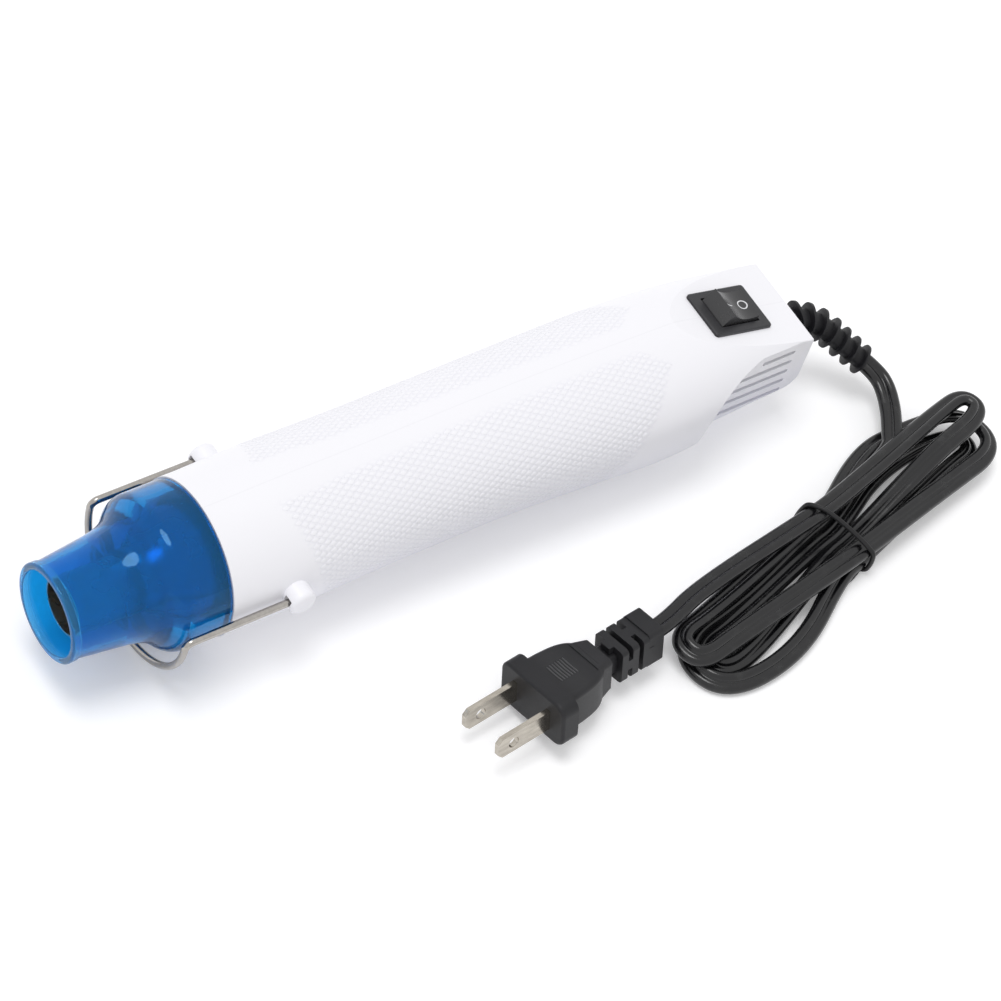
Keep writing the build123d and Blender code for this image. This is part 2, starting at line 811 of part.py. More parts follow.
def lead(points):
    """An insulated wire along its corner points, each corner rounded."""
    with BuildPart() as wire:
        with BuildLine() as wire_line:
            FilletPolyline(*points, radius=lead_bend)
        with BuildSketch(Plane(wire_line.wire() @ 0, z_dir=wire_line.wire() % 0)):
            Circle(lead_radius)
        sweep(path=wire_line.wire())
    return wire.part


# Heater's wires: from the card, round the fan's tips, through the bracket's windows, to the board
window_middle = (cup_radius + bracket_rib_bore) / 2
past_fan = fan_tip_radius + lead_clear + lead_radius
front_landing = at(board_start + lead_landing)
with BuildPart() as heater_leads:
    for side in (1, -1):
        heater_route = [
            (at(card_end), side * lead_wide, axis_height),
            (at(card_end + lead_straight), side * lead_wide, axis_height),
            (at(fan_start - lead_turn), side * past_fan, axis_height),
            (at(fan_start + fan_hub_length + lead_turn), side * past_fan, axis_height),
            (at(bracket_place - lead_window_turn), side * window_middle, axis_height),
            (front_landing, side * window_middle, axis_height),
            (front_landing, side * window_middle, board_top),
        ]
        add(lead(heater_route))
heater_leads.part.label = "heater_leads"
export_step(heater_leads.part, "parts/heater_leads.step")

# Motor's wires: from its end cap to the board
with BuildPart() as motor_leads:
    for side in (1, -1):
        motor_route = [
            (at(motor_end + cap_length), side * lead_middle, axis_height - lead_high),
            (front_landing, side * lead_middle, axis_height - lead_high),
            (front_landing, side * lead_middle, board_top),
        ]
        add(lead(motor_route))
motor_leads.part.label = "motor_leads"
export_step(motor_leads.part, "parts/motor_leads.step")

# Switched wire: from the switch's front terminal to the board
tab_plane = deck_plane.offset(tab_hold - tab_length - switch_depth)
tab_face = switch_length / 4 + tab_thick / 2
rear_landing = at(board_start + board_length - lead_landing)
front_hook = tab_plane.from_local_coords(Vector(-tab_face - lead_hook, lead_narrow, 0))
with BuildPart() as switch_lead:
    switch_route = [
        tab_plane.from_local_coords(Vector(-tab_face, lead_narrow, 0)),
        front_hook,
        Vector(front_hook.X - lead_hook, lead_narrow, axis_height - lead_run),
        Vector(rear_landing, lead_narrow, axis_height - lead_run),
        Vector(rear_landing, lead_narrow, board_top),
    ]
    add(lead(switch_route))
switch_lead.part.label = "switch_lead"
export_step(switch_lead.part, "parts/switch_lead.step")

# Mains wires: from the strain relief, one to the switch's rear terminal and one to the board
lead_entry = tail_x - wall - relief_flange_thick - 2 * running_gap
entry_height = axis_height - relief_drop
with BuildPart() as mains_leads:
    live_route = [
        Vector(lead_entry, lead_narrow, entry_height),
        tab_plane.from_local_coords(Vector(tab_face + lead_hook, lead_narrow, 0)),
        tab_plane.from_local_coords(Vector(tab_face, lead_narrow, 0)),
    ]
    neutral_route = [
        Vector(lead_entry, -lead_narrow, entry_height),
        Vector(lead_entry - lead_straight, -lead_narrow, entry_height),
        Vector(lead_entry - lead_straight - lead_swing, -lead_wide, axis_height - lead_run),
        Vector(rear_landing, -lead_wide, axis_height - lead_run),
        Vector(rear_landing, -lead_wide, board_top),
    ]
    add(lead(live_route))
    add(lead(neutral_route))
mains_leads.part.label = "mains_leads"
export_step(mains_leads.part, "parts/mains_leads.step")

# Screws that close the housing, put in from the far half
with BuildPart() as housing_screws:
    for place, height in screw_places:
        with BuildSketch(Plane.XZ.offset(-screw_seat)):
            with Locations((at(place), axis_height + height)):
                Circle(screw_radius)
        extrude(amount=screw_length)
        with BuildSketch(Plane.XZ.offset(-screw_seat)):
            with Locations((at(place), axis_height + height)):
                Circle(screw_head_radius)
        extrude(amount=-screw_head_height)
housing_screws.part.label = "housing_screws"
export_step(housing_screws.part, "parts/housing_screws.step")

# Stand: one wire, from one pivot end round the barrel's front to the other
pivot_height = axis_height + ear_rise
arm_end = at(bail_place + bail_bend)
with BuildPart() as stand_bail:
    with BuildLine() as bail_line:
        near_end = (at(ear_place), -pivot_reach, pivot_height)
        near_knee = (at(ear_place), -loop_radius, pivot_height)
        near_arm = (arm_end, -loop_radius, pivot_height)
        near_loop = (at(bail_place), -loop_radius, pivot_height - bail_bend)
        low_point = (at(bail_place), 0, pivot_height - bail_bend - loop_radius)
        far_loop = (at(bail_place), loop_radius, pivot_height - bail_bend)
        far_arm = (arm_end, loop_radius, pivot_height)
        far_knee = (at(ear_place), loop_radius, pivot_height)
        far_end = (at(ear_place), pivot_reach, pivot_height)
        FilletPolyline(near_end, near_knee, near_arm, radius=bail_knee)
        TangentArc(near_arm, near_loop, tangent=(-1, 0, 0))
        ThreePointArc(near_loop, low_point, far_loop)
        TangentArc(far_loop, far_arm, tangent=(0, 0, 1))
        FilletPolyline(far_arm, far_knee, far_end, radius=bail_knee)
    with BuildSketch(Plane(near_end, x_dir=(1, 0, 0), z_dir=(0, -1, 0))):
        Circle(wire_radius)
    sweep(path=bail_line.wire())
stand_bail.part.label = "stand_bail"
export_step(stand_bail.part, "parts/stand_bail.step")

# Strain relief: an oval, ribbed boot that tapers and droops, held in the end wall by two flanges
relief_root = Vector(tail_x, 0, axis_height - relief_drop)
relief_elbow = relief_root + Vector(relief_straight, 0, 0)
relief_end = relief_root + Vector(relief_reach, -relief_side, -relief_fall)
with BuildLine() as relief_line:
    FilletPolyline(relief_root, relief_elbow, relief_end, radius=relief_bend)
relief_path = relief_line.wire()


def relief_section(share):
    """Plane across the boot at a share of its length, its long side level."""
    forward = relief_path % share
    return Plane(relief_path @ share, x_dir=Vector(0, 0, 1).cross(forward), z_dir=forward)


with BuildPart() as strain_relief:
    for number in range(relief_sections):
        share = number / (relief_sections - 1)
        with BuildSketch(relief_section(share)):
            Ellipse(
                (relief_neck_width + share * (relief_tip_width - relief_neck_width)) / 2,
                (relief_neck_height + share * (relief_tip_height - relief_neck_height)) / 2,
            )
    loft()
    for number in range(relief_ribs):
        place = relief_first_rib + (relief_last_rib - relief_first_rib) * number / (relief_ribs - 1)
        share = place / relief_path.length
        with BuildSketch(relief_section(share)):
            Ellipse(
                (relief_neck_width + share * (relief_tip_width - relief_neck_width)) / 2 + relief_rib_proud,
                (relief_neck_height + share * (relief_tip_height - relief_neck_height)) / 2
                + relief_rib_proud,
            )
        extrude(amount=relief_rib_thick / 2, both=True)
    for flange_start in (tool_length, tool_length - wall - relief_flange_thick):
        with BuildSketch(axis_plane(flange_start)):
            with Locations(relief_centre):
                SlotOverall(relief_neck_width + 2 * relief_flange, relief_neck_height + 2 * relief_flange)
        extrude(amount=relief_flange_thick)
    with BuildSketch(axis_plane(tool_length - wall - relief_flange_thick)):
        with Locations(relief_centre):
            SlotOverall(relief_neck_width, relief_neck_height)
    extrude(amount=wall + relief_flange_thick)
strain_relief.part.label = "strain_relief"
export_step(strain_relief.part, "parts/strain_relief.step")


def corner_radii(points, most_share):
    """Radius at each corner: as large as its two runs allow, none larger than a share of the shorter one."""
    radii = []
    for before, here, after in zip(points, points[1:], points[2:]):
        arriving = Vector(*here) - Vector(*before)
        leaving = Vector(*after) - Vector(*here)
        half_turn = radians(arriving.get_angle(leaving)) / 2
        radii.append(most_share * min(arriving.length, leaving.length) / tan(half_turn))
    return radii


def round_tube(path):
    """The cord's solid along a path."""
    with BuildPart() as tube:
        with BuildSketch(Plane(path @ 0, z_dir=path % 0)):
            Circle(cord_size / 2)
        sweep(path=path)
    return tube.part


def hank_place(along, across, height):
    """A point given along and across the hank, and above the table."""
    turn = radians(hank_turn)
    return (
        hank_centre_x + along * cos(turn) - across * sin(turn),
        hank_centre_y + along * sin(turn) + across * cos(turn),
        height,
    )


def ground_height(number):
    """Height of the cord's middle in a layer of the hank where it lies on the table."""
    return cord_size / 2 + rest_lift + number * layer_step


def waist_height(number):
    """The same at the tie, whose band passes under the bundle."""
    return cord_size / 2 + tie_thick + tie_gap + number * layer_step


# Free stretch: from the strain relief, down and over the first loop, into the hank
forward = relief_path % 1
cord_start = relief_path @ 1
hank_join = hank_place(join_along, join_across, ground_height(1))
cord_points = [
    tuple(cord_start),
    tuple(cord_start + forward * cord_size),
    (cord_fall_x, cord_fall_y, cord_fall_height),
    hank_place(join_along + join_before, join_across + join_before, ground_height(1)),
    hank_join,
]

# Hank: every run crosses the waist in its own lane and layer, then folds back at its end
hank_points = [hank_join, hank_place(join_along - join_after, join_across - join_after, ground_height(1))]
for run, (lane, waist_layer) in enumerate(zip(waist_lane_shares, waist_layers)):
    way = 1 if run % 2 else -1
    for along, across, number in run_shoulders.get((run, "before"), []):
        hank_points.append(hank_place(along, across, ground_height(number)))
    for end in (-1, 1):
        along = tie_place + end * way * waist_length / 2
        hank_points.append(hank_place(along, lane * layer_step, waist_height(waist_layer)))
    for along, across, number in run_shoulders.get((run, "after"), []):
        hank_points.append(hank_place(along, across, ground_height(number)))
    if run < len(hank_folds):
        reach, arriving, leaving, number = hank_folds[run]
        hank_points.append(hank_place(way * reach, arriving, ground_height(number)))
        hank_points.append(hank_place(way * reach, leaving, ground_height(number)))

# Plug: placed as it lies, tipped on one edge of its face
plug_width_way = Vector(0, 1, 0).rotate(Axis.X, plug_roll)
plug_width_way = plug_width_way.rotate(Axis.Y, plug_pitch).rotate(Axis.Z, plug_yaw)
plug_cord_way = Vector(1, 0, 0).rotate(Axis.Y, plug_pitch).rotate(Axis.Z, plug_yaw)
plug_face = Vector(plug_x, plug_y, plug_z)
plug_plane = Plane(plug_face, x_dir=plug_width_way, z_dir=plug_cord_way)
plug_end = plug_face + plug_cord_way * plug_length
hank_points.append(tuple(plug_end + plug_cord_way * plug_lead))
hank_points.append(tuple(plug_end))

for name, points in (("cord", cord_points), ("cord_hank", hank_points)):
    radii = corner_radii(points, arc_share)
    with BuildLine() as route:
        FilletPolyline(*points, radius=radii)
    tube = round_tube(route.wire())
    length = route.wire().length
    print(name, "length", round(length, 1), "radii", [round(radius, 1) for radius in radii])
    print(name, "volume share", round(tube.volume / (length * pi * cord_size**2 / 4), 4))
    tube.label = name
    export_step(tube, f"parts/{name}.step")
    if name == "cord_hank":
        steps = round(length / (cord_size / 2))
        places = [route.wire() @ (step / steps) for step in range(steps + 1)]
        apart = round(pi * cord_size / (length / steps))
        least = min(
            (places[first] - places[second]).length
            for first in range(len(places))
            for second in range(first + apart, len(places))
        )
        print("cord_hank least gap to itself", round(least - cord_size, 2))

# Tie: a band drawn round the bundle at its waist
tie_start = hank_place(tie_place - tie_width / 2, 0, 0)
tie_plane = Plane(
    tie_start,
    x_dir=(-sin(radians(hank_turn)), cos(radians(hank_turn)), 0),
    z_dir=(cos(radians(hank_turn)), sin(radians(hank_turn)), 0),
)
bundle = [(lane * layer_step, waist_height(number)) for lane, number in zip(waist_lane_shares, waist_layers)]
with BuildPart() as hank_tie:
    with BuildSketch(tie_plane):
        with Locations(*bundle):
            Circle(cord_size / 2 + tie_gap + tie_thick)
        make_hull()
    extrude(amount=tie_width)
    with BuildSketch(tie_plane):
        with Locations(*bundle):
            Circle(cord_size / 2 + tie_gap)
        make_hull()
    extrude(amount=tie_width, mode=Mode.SUBTRACT)
hank_tie.part.label = "hank_tie"
export_step(hank_tie.part, "parts/hank_tie.step")

# Plug grip, drawn from above: full behind the plate, then bowed sides that run in to the shoulder
plug_top_plane = Plane(plug_face, x_dir=plug_cord_way, z_dir=plug_plane.y_dir)
plug_up_axis = Axis(plug_face, plug_plane.y_dir)
plug_cord_axis = Axis(plug_face, plug_cord_way)
plug_width_axis = Axis(plug_face, plug_width_way)
with BuildPart() as plug_grip:
    with BuildSketch(plug_top_plane):
        with BuildLine():
            grip_sides = []
            for side in (1, -1):
                root = (plug_plate_thick / 2, side * plug_grip_width / 2)
                hip = (plug_hip_place, side * plug_hip_width / 2)
                shoulder = (plug_shoulder_place, side * plug_shoulder_width / 2)
                Spline(root, hip, shoulder, tangents=[(1, 0), (1, -side)])
                grip_sides.append((root, shoulder))
            Line(grip_sides[0][0], grip_sides[1][0])
            Line(grip_sides[0][1], grip_sides[1][1])
        make_face()
    extrude(amount=plug_grip_height / 2, both=True)
    grip_faces = plug_grip.faces().sort_by(plug_up_axis)
    long_edges = grip_faces[-1].edges() + grip_faces[0].edges()
    fillet(long_edges.filter_by(plug_width_axis, reverse=True), plug_grip_round)

# Plug body: face plate, grip, shoulder, slotted neck and end block
with BuildPart() as plug_body:
    with BuildSketch(plug_plane):
        RectangleRounded(plug_plate_width, plug_plate_height, plug_corner)
    extrude(amount=plug_plate_thick)
    fillet(plug_body.faces().sort_by(plug_cord_axis)[0].edges(), plug_front_round)
    add(plug_grip.part)
    with BuildSketch(plug_plane.offset(plug_shoulder_place - plug_grip_round)):
        RectangleRounded(
            plug_shoulder_width + plug_shoulder_step, plug_grip_height + plug_shoulder_step, plug_neck_corner
        )
    with BuildSketch(plug_plane.offset(plug_neck_start)):
        RectangleRounded(plug_neck_width, plug_neck_height, plug_neck_corner)
    loft()
    with BuildSketch(plug_plane.offset(plug_neck_start)):
        RectangleRounded(plug_core_width, plug_core_height, plug_neck_corner)
    extrude(amount=plug_block_start - plug_neck_start)
    disc_step = (plug_block_start - plug_neck_start + plug_slot_width) / plug_slots
    for number in range(plug_slots):
        slot_start = plug_neck_start + number * disc_step - plug_slot_width
        if number > 0:
            with BuildSketch(plug_plane.offset(slot_start + plug_slot_width)):
                RectangleRounded(plug_neck_width, plug_neck_height, plug_neck_corner)
            extrude(amount=disc_step - plug_slot_width)
        with BuildSketch(plug_plane.offset(slot_start + disc_step)):
            if number % 2:
                Rectangle(plug_neck_width, plug_bridge)
            else:
                Rectangle(plug_bridge, plug_neck_height)
        extrude(amount=plug_slot_width)
    with BuildSketch(plug_plane.offset(plug_block_start)):
        RectangleRounded(plug_block_width, plug_block_height, plug_neck_corner)
    extrude(amount=plug_length - plug_block_start)
plug_body.part.label = "plug_body"
export_step(plug_body.part, "parts/plug_body.step")

# Two flat blades, rounded at the tip's corners, with a hole near each tip
with BuildPart() as plug_blades:
    for side in (1, -1):
        with BuildSketch(plug_plane):
            with Locations((side * blade_spacing / 2, 0)):
                Rectangle(blade_thick_flat, blade_height)
        extrude(amount=-blade_length)
    blade_tips = plug_blades.edges().filter_by(plug_width_axis).group_by(plug_cord_axis)[0]
    chamfer(blade_tips, blade_tip_corner)
    blade_hole_plane = Plane(
        plug_face - plug_cord_way * blade_hole_place, x_dir=plug_cord_way, z_dir=plug_width_way
    )
    with BuildSketch(blade_hole_plane):
        Circle(blade_hole / 2)
    extrude(amount=plug_plate_width, both=True, mode=Mode.SUBTRACT)
plug_blades.part.label = "plug_blades"
export_step(plug_blades.part, "parts/plug_blades.step")
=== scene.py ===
# %% [markdown]
# # A small hot air tool, dressed for its picture
# The tool was drawn as solids first: housing, nozzle, stand, switch, heater, motor, cord and plug.
# Here those solids are loaded as a frame that never moves, and every piece gets its finish.
# Soft pieces, such as the cord and its tie, are made again as surfaces worked out with numpy.
# The frame is in metres. Lengths are written here in millimetres and multiplied by MM where they are
# used. The tool's axis runs along x at AXIS_HEIGHT over the table, and its mouth is at x = -MOUTH.

import math

import bpy
import numpy as np
from mathutils import Matrix, Vector


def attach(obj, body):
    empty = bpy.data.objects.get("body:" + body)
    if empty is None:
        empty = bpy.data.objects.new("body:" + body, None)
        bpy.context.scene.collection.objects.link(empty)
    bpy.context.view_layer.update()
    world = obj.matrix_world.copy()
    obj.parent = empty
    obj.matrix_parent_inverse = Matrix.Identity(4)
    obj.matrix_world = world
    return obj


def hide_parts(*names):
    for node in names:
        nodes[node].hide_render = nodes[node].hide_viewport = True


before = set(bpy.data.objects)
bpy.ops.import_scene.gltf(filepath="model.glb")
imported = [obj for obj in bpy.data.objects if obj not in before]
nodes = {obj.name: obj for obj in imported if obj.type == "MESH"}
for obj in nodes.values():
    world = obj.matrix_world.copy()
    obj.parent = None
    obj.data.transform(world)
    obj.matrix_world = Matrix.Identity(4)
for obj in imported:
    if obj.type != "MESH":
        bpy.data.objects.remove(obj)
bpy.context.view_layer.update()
MM = 0.001
AXIS_HEIGHT = 24.4
MOUTH = 113.25

# %% [markdown]
# ## Camera
# The photograph was taken from above and in front of the near side, with a long lens held at a slant.
# The camera is given by three unit directions (right, up, back), its distance and the point it looks at.

# %% Camera
CAMERA_DISTANCE = 1.10469
look_at = np.array([10.35, -18.63, AXIS_HEIGHT]) * MM
right = np.array([0.818, -0.534, 0.213])
back = np.array([-0.465, -0.398, 0.791])
back /= np.linalg.norm(back)
right -= back * right.dot(back)
right /= np.linalg.norm(right)
up = np.cross(back, right)
camera_data = bpy.data.cameras.new("camera")
camera_data.lens = 155.2
camera_data.sensor_width = 36.0
camera_data.clip_start = 0.05
camera_data.clip_end = 20.0
camera = bpy.data.objects.new("camera", camera_data)
place = look_at + back * CAMERA_DISTANCE
camera.matrix_world = Matrix(
    [[right[i], up[i], back[i], place[i]] for i in range(3)] + [[0, 0, 0, 1]]
)
bpy.context.scene.collection.objects.link(camera)
bpy.context.scene.camera = camera
print("camera at", np.round(place, 3), "metres")

# %% [markdown]
# ## Cord
# The cord is a flat twin flex: two round cores side by side under one skin, so it shows two ridges
# and a groove. It leaves the strain relief, runs into a hank folded to and fro, and ends in the plug.
# Its line is one smooth NURBS spline whose control points are the route's, and its skin is a profile
# carried along points read from that spline. In the hank each run crosses the waist in a lane and a
# layer of its own. Then it folds back: a fold has its reach from the middle, where a run arrives and
# where the next one leaves, and a layer. Shoulders are points where a run swings wide beside the waist.

# %% Tables of the hank
HANK_CENTRE = (96.75, -58.0)
HANK_TURN = math.radians(10.8)
LAYER_STEP = 4.9
GROUND = 2.4
WAIST_HEIGHT = 3.3
WAIST_MIDDLE = 1.5
WAIST_HALF = 4.5
ROUNDING = 1.4
LANES = [1.5, -1.5, 1.5, -1.5, 0.5, -0.5, 1.3]
WAIST_LAYERS = [1, 1, 0, 0, 0, 0, 2]
FOLDS = [
    (58.0, 3.4, -6.4, 1),
    (61.5, -6.4, 8.8, 1),
    (57.0, 3.2, -15.5, 0),
    (58.5, -1.6, 6.6, 0),
    (52.0, -1.5, -10.8, 0),
    (62.5, 2.6, 10.2, 2),
]
SHOULDERS = {
    (2, "before"): [(47.0, 15.0, 0), (31.0, 17.0, 0)],
    (3, "before"): [(-30.0, -18.5, 0)],
    (4, "before"): [(30.0, 10.2, 0)],
    (5, "after"): [(40.0, 1.5, 2)],
    (6, "after"): [(-45.0, 8.5, 2)],
}
print("hank:", len(LANES), "runs and", len(FOLDS), "folds")


# %% The cord's route
RELIEF_LEAD = 4.4 * MM
PLUG_LENGTH = 40.3 * MM
PLUG_LEAD = 6.0 * MM


def on_hank(along, across, height):
    """A point of the hank: its middle, plus along and across turned by the hank's angle, in metres."""
    return (
        (HANK_CENTRE[0] + along * math.cos(HANK_TURN) - across * math.sin(HANK_TURN)) * MM,
        (HANK_CENTRE[1] + along * math.sin(HANK_TURN) + across * math.cos(HANK_TURN)) * MM,
        height * MM,
    )


def on_layer(along, across, number):
    """A point of the hank in a layer: the lowest height, plus the step times the layer's number."""
    return on_hank(along, across, GROUND + LAYER_STEP * number)


relief_root = Vector((MOUTH, 0.0, 22.4)) * MM
relief_elbow = Vector((MOUTH + 10.5, 0.0, 22.4)) * MM
relief_tip = Vector((136.75, -15.0, 11.4)) * MM
relief_way = (relief_tip - relief_elbow).normalized()
route = [tuple(relief_tip), tuple(relief_tip + relief_way * RELIEF_LEAD), (140.0 * MM, -22.5 * MM, 8.0 * MM)]
route += [on_layer(45.0, 20.2, 1), on_layer(39.5, 14.7, 1), on_layer(35.2, 10.4, 1)]
for run, (lane, waist_layer) in enumerate(zip(LANES, WAIST_LAYERS)):
    way = 1 if run % 2 else -1
    route += [on_layer(*shoulder) for shoulder in SHOULDERS.get((run, "before"), [])]
    for end in (-1, 1):
        across_waist = WAIST_MIDDLE + end * way * WAIST_HALF
        route.append(on_hank(across_waist, lane * LAYER_STEP, WAIST_HEIGHT + LAYER_STEP * waist_layer))
    route += [on_layer(*shoulder) for shoulder in SHOULDERS.get((run, "after"), [])]
    if run < len(FOLDS):
        reach, arriving, leaving, number = FOLDS[run]
        bend_start = reach - ROUNDING * abs(arriving - leaving)
        if (run, "after") not in SHOULDERS:
            route.append(on_layer(way * bend_start, arriving, number))
        route.append(on_layer(way * reach, arriving, number))
        route.append(on_layer(way * reach, leaving, number))
        if (run + 1, "before") not in SHOULDERS:
            route.append(on_layer(way * bend_start, leaving, number))

plug_roll, plug_pitch, plug_yaw = (math.radians(turn) for turn in (-14.6, -1.2, 6.5))
plug_turn = (
    Matrix.Rotation(plug_yaw, 3, "Z") @ Matrix.Rotation(plug_pitch, 3, "Y") @ Matrix.Rotation(plug_roll, 3, "X")
)
plug_face = Vector((-8.75, -68.1, 10.4)) * MM
plug_way = plug_turn @ Vector((1, 0, 0))
plug_wide = plug_turn @ Vector((0, 1, 0))
plug_end = plug_face + plug_way * PLUG_LENGTH
route += [tuple(plug_end + plug_way * PLUG_LEAD), tuple(plug_end)]
print("route:", len(route), "points from the relief to the plug")

# %% The cord's line
SHORTEST_STEP = 0.05 * MM
line_data = bpy.data.curves.new("cord_line", "CURVE")
line_data.dimensions = "3D"
spline = line_data.splines.new("NURBS")
spline.points.add(len(route) - 1)
for point, spot in zip(spline.points, route):
    point.co = (*spot, 1.0)
spline.order_u = 3
spline.use_endpoint_u = True
spline.resolution_u = 12
line = bpy.data.objects.new("cord_line", line_data)
bpy.context.scene.collection.objects.link(line)
bpy.context.view_layer.update()
read_line = bpy.data.meshes.new_from_object(line)
cord_path = np.zeros(len(read_line.vertices) * 3)
read_line.vertices.foreach_get("co", cord_path)
cord_path = cord_path.reshape(-1, 3)
bpy.data.objects.remove(line)
bpy.data.meshes.remove(read_line)
steps = np.linalg.norm(np.diff(cord_path, axis=0), axis=1)
cord_path = cord_path[np.concatenate([[True], steps > SHORTEST_STEP])]
steps = np.linalg.norm(np.diff(cord_path, axis=0), axis=1)
cord_run = np.concatenate([[0.0], np.cumsum(steps)])
cord_length = float(cord_run[-1])
print("cord:", len(cord_path), "points,", round(cord_length, 4), "metres")

# %% [markdown]
# ## A profile carried along a path
# Most long pieces here are one idea: a closed profile set square to a path at every station.
# All stations are computed at once as an array of stations by profile points, and the faces are the
# quads between neighbours. The two ends are closed with one face each.


# %% Helpers for surfaces
def unit(vectors):
    """Each row divided by its own length."""
    return vectors / np.maximum(np.linalg.norm(vectors, axis=-1, keepdims=True), 1e-12)


def add_piece(name, vertices, faces, body="root"):
    """Puts vertices (an array of points in metres) and faces into a mesh piece that rides on a body."""
    mesh = bpy.data.meshes.new(name)
    mesh.from_pydata([tuple(v) for v in vertices.tolist()], [], faces)
    mesh.update()
    mesh.shade_smooth()
    piece = bpy.data.objects.new(name, mesh)
    bpy.context.scene.collection.objects.link(piece)
    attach(piece, body)
    return piece


def grid_faces(rows, columns, looped=False):
    """Quads between row r and r + 1 and column c and c + 1, columns joined round, rows too if looped."""
    r, c = np.meshgrid(np.arange(rows if looped else rows - 1), np.arange(columns), indexing="ij")
    n, d = (r + 1) % rows, (c + 1) % columns
    quads = np.stack([r * columns + c, r * columns + d, n * columns + d, n * columns + c], -1)
    return quads.reshape(-1, 4).tolist()


def carry(path, side, over, profile, scale=None):
    """Points path[i] + side[i] * profile x + over[i] * profile y, times a scale for each station."""
    scale = np.ones(len(path)) if scale is None else scale
    x, y = profile[:, 0], profile[:, 1]
    reach = side[:, None, :] * x[None, :, None] + over[:, None, :] * y[None, :, None]
    return path[:, None, :] + reach * scale[:, None, None]


def capped(rows, columns):
    """The quads of a carried profile and one face over each end, all facing outwards."""
    first = list(range(columns))[::-1]
    last = [(rows - 1) * columns + c for c in range(columns)]
    return grid_faces(rows, columns) + [first, last]


print("helpers: unit, add_piece, grid_faces, carry, capped")

# %% [markdown]
# ## Skin of the flat twin flex
# The real lead is two round cores side by side under one black vinyl skin, so it shows two ridges and
# a groove. A round bevel on the curve would lose that, so a profile is carried along the line instead.
# A flat flex bends most easily across its thin way, so it leans in the folds and lies flatter on its
# straight runs. The lean comes from how much the line bends, smoothed along its run.

# %% Section of the flex
CORD_WIDE = 5.8 * MM
CORD_THICK = 3.0 * MM
core = CORD_THICK / 2
apart = CORD_WIDE / 2 - core
LOBE_TURN = math.radians(143)
lobe = np.linspace(-LOBE_TURN, LOBE_TURN, 21)
right_lobe = np.stack([apart + core * np.cos(lobe), core * np.sin(lobe)], -1)
profile = np.concatenate([right_lobe, -right_lobe])
print("flex:", round(CORD_WIDE * 1000, 1), "by", round(CORD_THICK * 1000, 1), "mm")

# %% Lean along the run
LEAST_LEAN = 12
MORE_LEAN = 26
BEND_REACH = 14 * MM
LEVEL_END = 60 * MM
LEVEL_START = 25 * MM
FLOOR_GAP = 0.05 * MM
ways = unit(np.gradient(cord_path, cord_run, axis=0))
level = unit(np.stack([-ways[:, 1], ways[:, 0], np.zeros(len(ways))], -1))
top = unit(np.cross(ways, level))
heading = np.unwrap(np.arctan2(ways[:, 1], ways[:, 0]))
bend = np.abs(np.gradient(heading, cord_run))
even = np.linspace(0, cord_length, 900)
lean = np.clip(np.interp(even, cord_run, bend) * BEND_REACH, 0, 1)
window = np.hanning(61)
lean = np.convolve(np.pad(lean, 30, mode="edge"), window / window.sum(), mode="valid")
lean = np.radians(LEAST_LEAN + MORE_LEAN * np.clip(1.5 * lean, 0, 1))
last_part = np.clip((cord_length - even) / LEVEL_END, 0, 1)
lean = lean * last_part * np.clip(even / LEVEL_START, 0.35, 1) - plug_roll * (1 - last_part)
tilt = np.interp(cord_run, even, lean)
least_height = core + apart * np.abs(np.sin(tilt)) + FLOOR_GAP
cord_path[:, 2] = np.maximum(cord_path[:, 2], least_height)
side = level * np.cos(tilt)[:, None] + top * np.sin(tilt)[:, None]
over = -level * np.sin(tilt)[:, None] + top * np.cos(tilt)[:, None]
turning = np.linalg.norm(np.gradient(ways, cord_run, axis=0), axis=1)
sharpest = int(np.argmax(turning))
print("tightest bend", round(1000 / turning[sharpest], 2), "mm at", round(cord_run[sharpest] * 1000), "mm")
print("lean from", round(math.degrees(tilt.min())), "to", round(math.degrees(tilt.max())), "degrees")

# %% Cord skin
skin = carry(cord_path, side, over, profile)
cord = add_piece("mains_cord", skin.reshape(-1, 3), capped(len(cord_path), len(profile)))
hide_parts("cord", "cord_hank")
lowest = float(skin[:, :, 2].min())
print("cord skin:", skin.shape[0], "stations, lowest point", round(lowest * 1000, 2), "mm")

# %% [markdown]
# ## Tie round the hank
# A short length of thin cord is drawn tight round the folded lead. A tight loop follows the outline of
# what it holds, like a rubber band round pegs. That outline is the support function: for each way out
# from the middle, how far the bundle reaches that way. It needs no search and gives a closed, smooth,
# bulging loop at once. A cut end lies on the table beside it.

# %% The loop's line
TIE_ROUND = 0.66 * MM
TIE_SLANT = -0.35
TIE_ALONG = 0.5 * MM
HELD_HALF = 2.5 * MM
turn_cos, turn_sin = math.cos(HANK_TURN), math.sin(HANK_TURN)
stretch = math.hypot(1, TIE_SLANT)
offset = skin.reshape(-1, 3) - np.array([HANK_CENTRE[0] * MM, HANK_CENTRE[1] * MM, 0.0])
run_along = offset[:, 0] * turn_cos + offset[:, 1] * turn_sin
run_across = offset[:, 1] * turn_cos - offset[:, 0] * turn_sin
held = np.abs(run_along - TIE_ALONG - TIE_SLANT * run_across) < HELD_HALF
bundle = np.stack([run_across[held] * stretch, offset[held, 2]], -1)
bundle_middle = (bundle.max(0) + bundle.min(0)) / 2
around = np.linspace(0, 2 * np.pi, 180, endpoint=False)
facing = np.stack([np.cos(around), np.sin(around)], -1)
support = ((bundle - bundle_middle) @ facing.T).max(0) + TIE_ROUND
window = np.hanning(19) / np.hanning(19).sum()
support = np.convolve(np.concatenate([support[-9:], support, support[:9]]), window, mode="valid")
slope = (np.roll(support, -1) - np.roll(support, 1)) / (2 * around[1])
swept = np.stack([-facing[:, 1], facing[:, 0]], -1)
loop = bundle_middle + facing * support[:, None] + swept * slope[:, None]
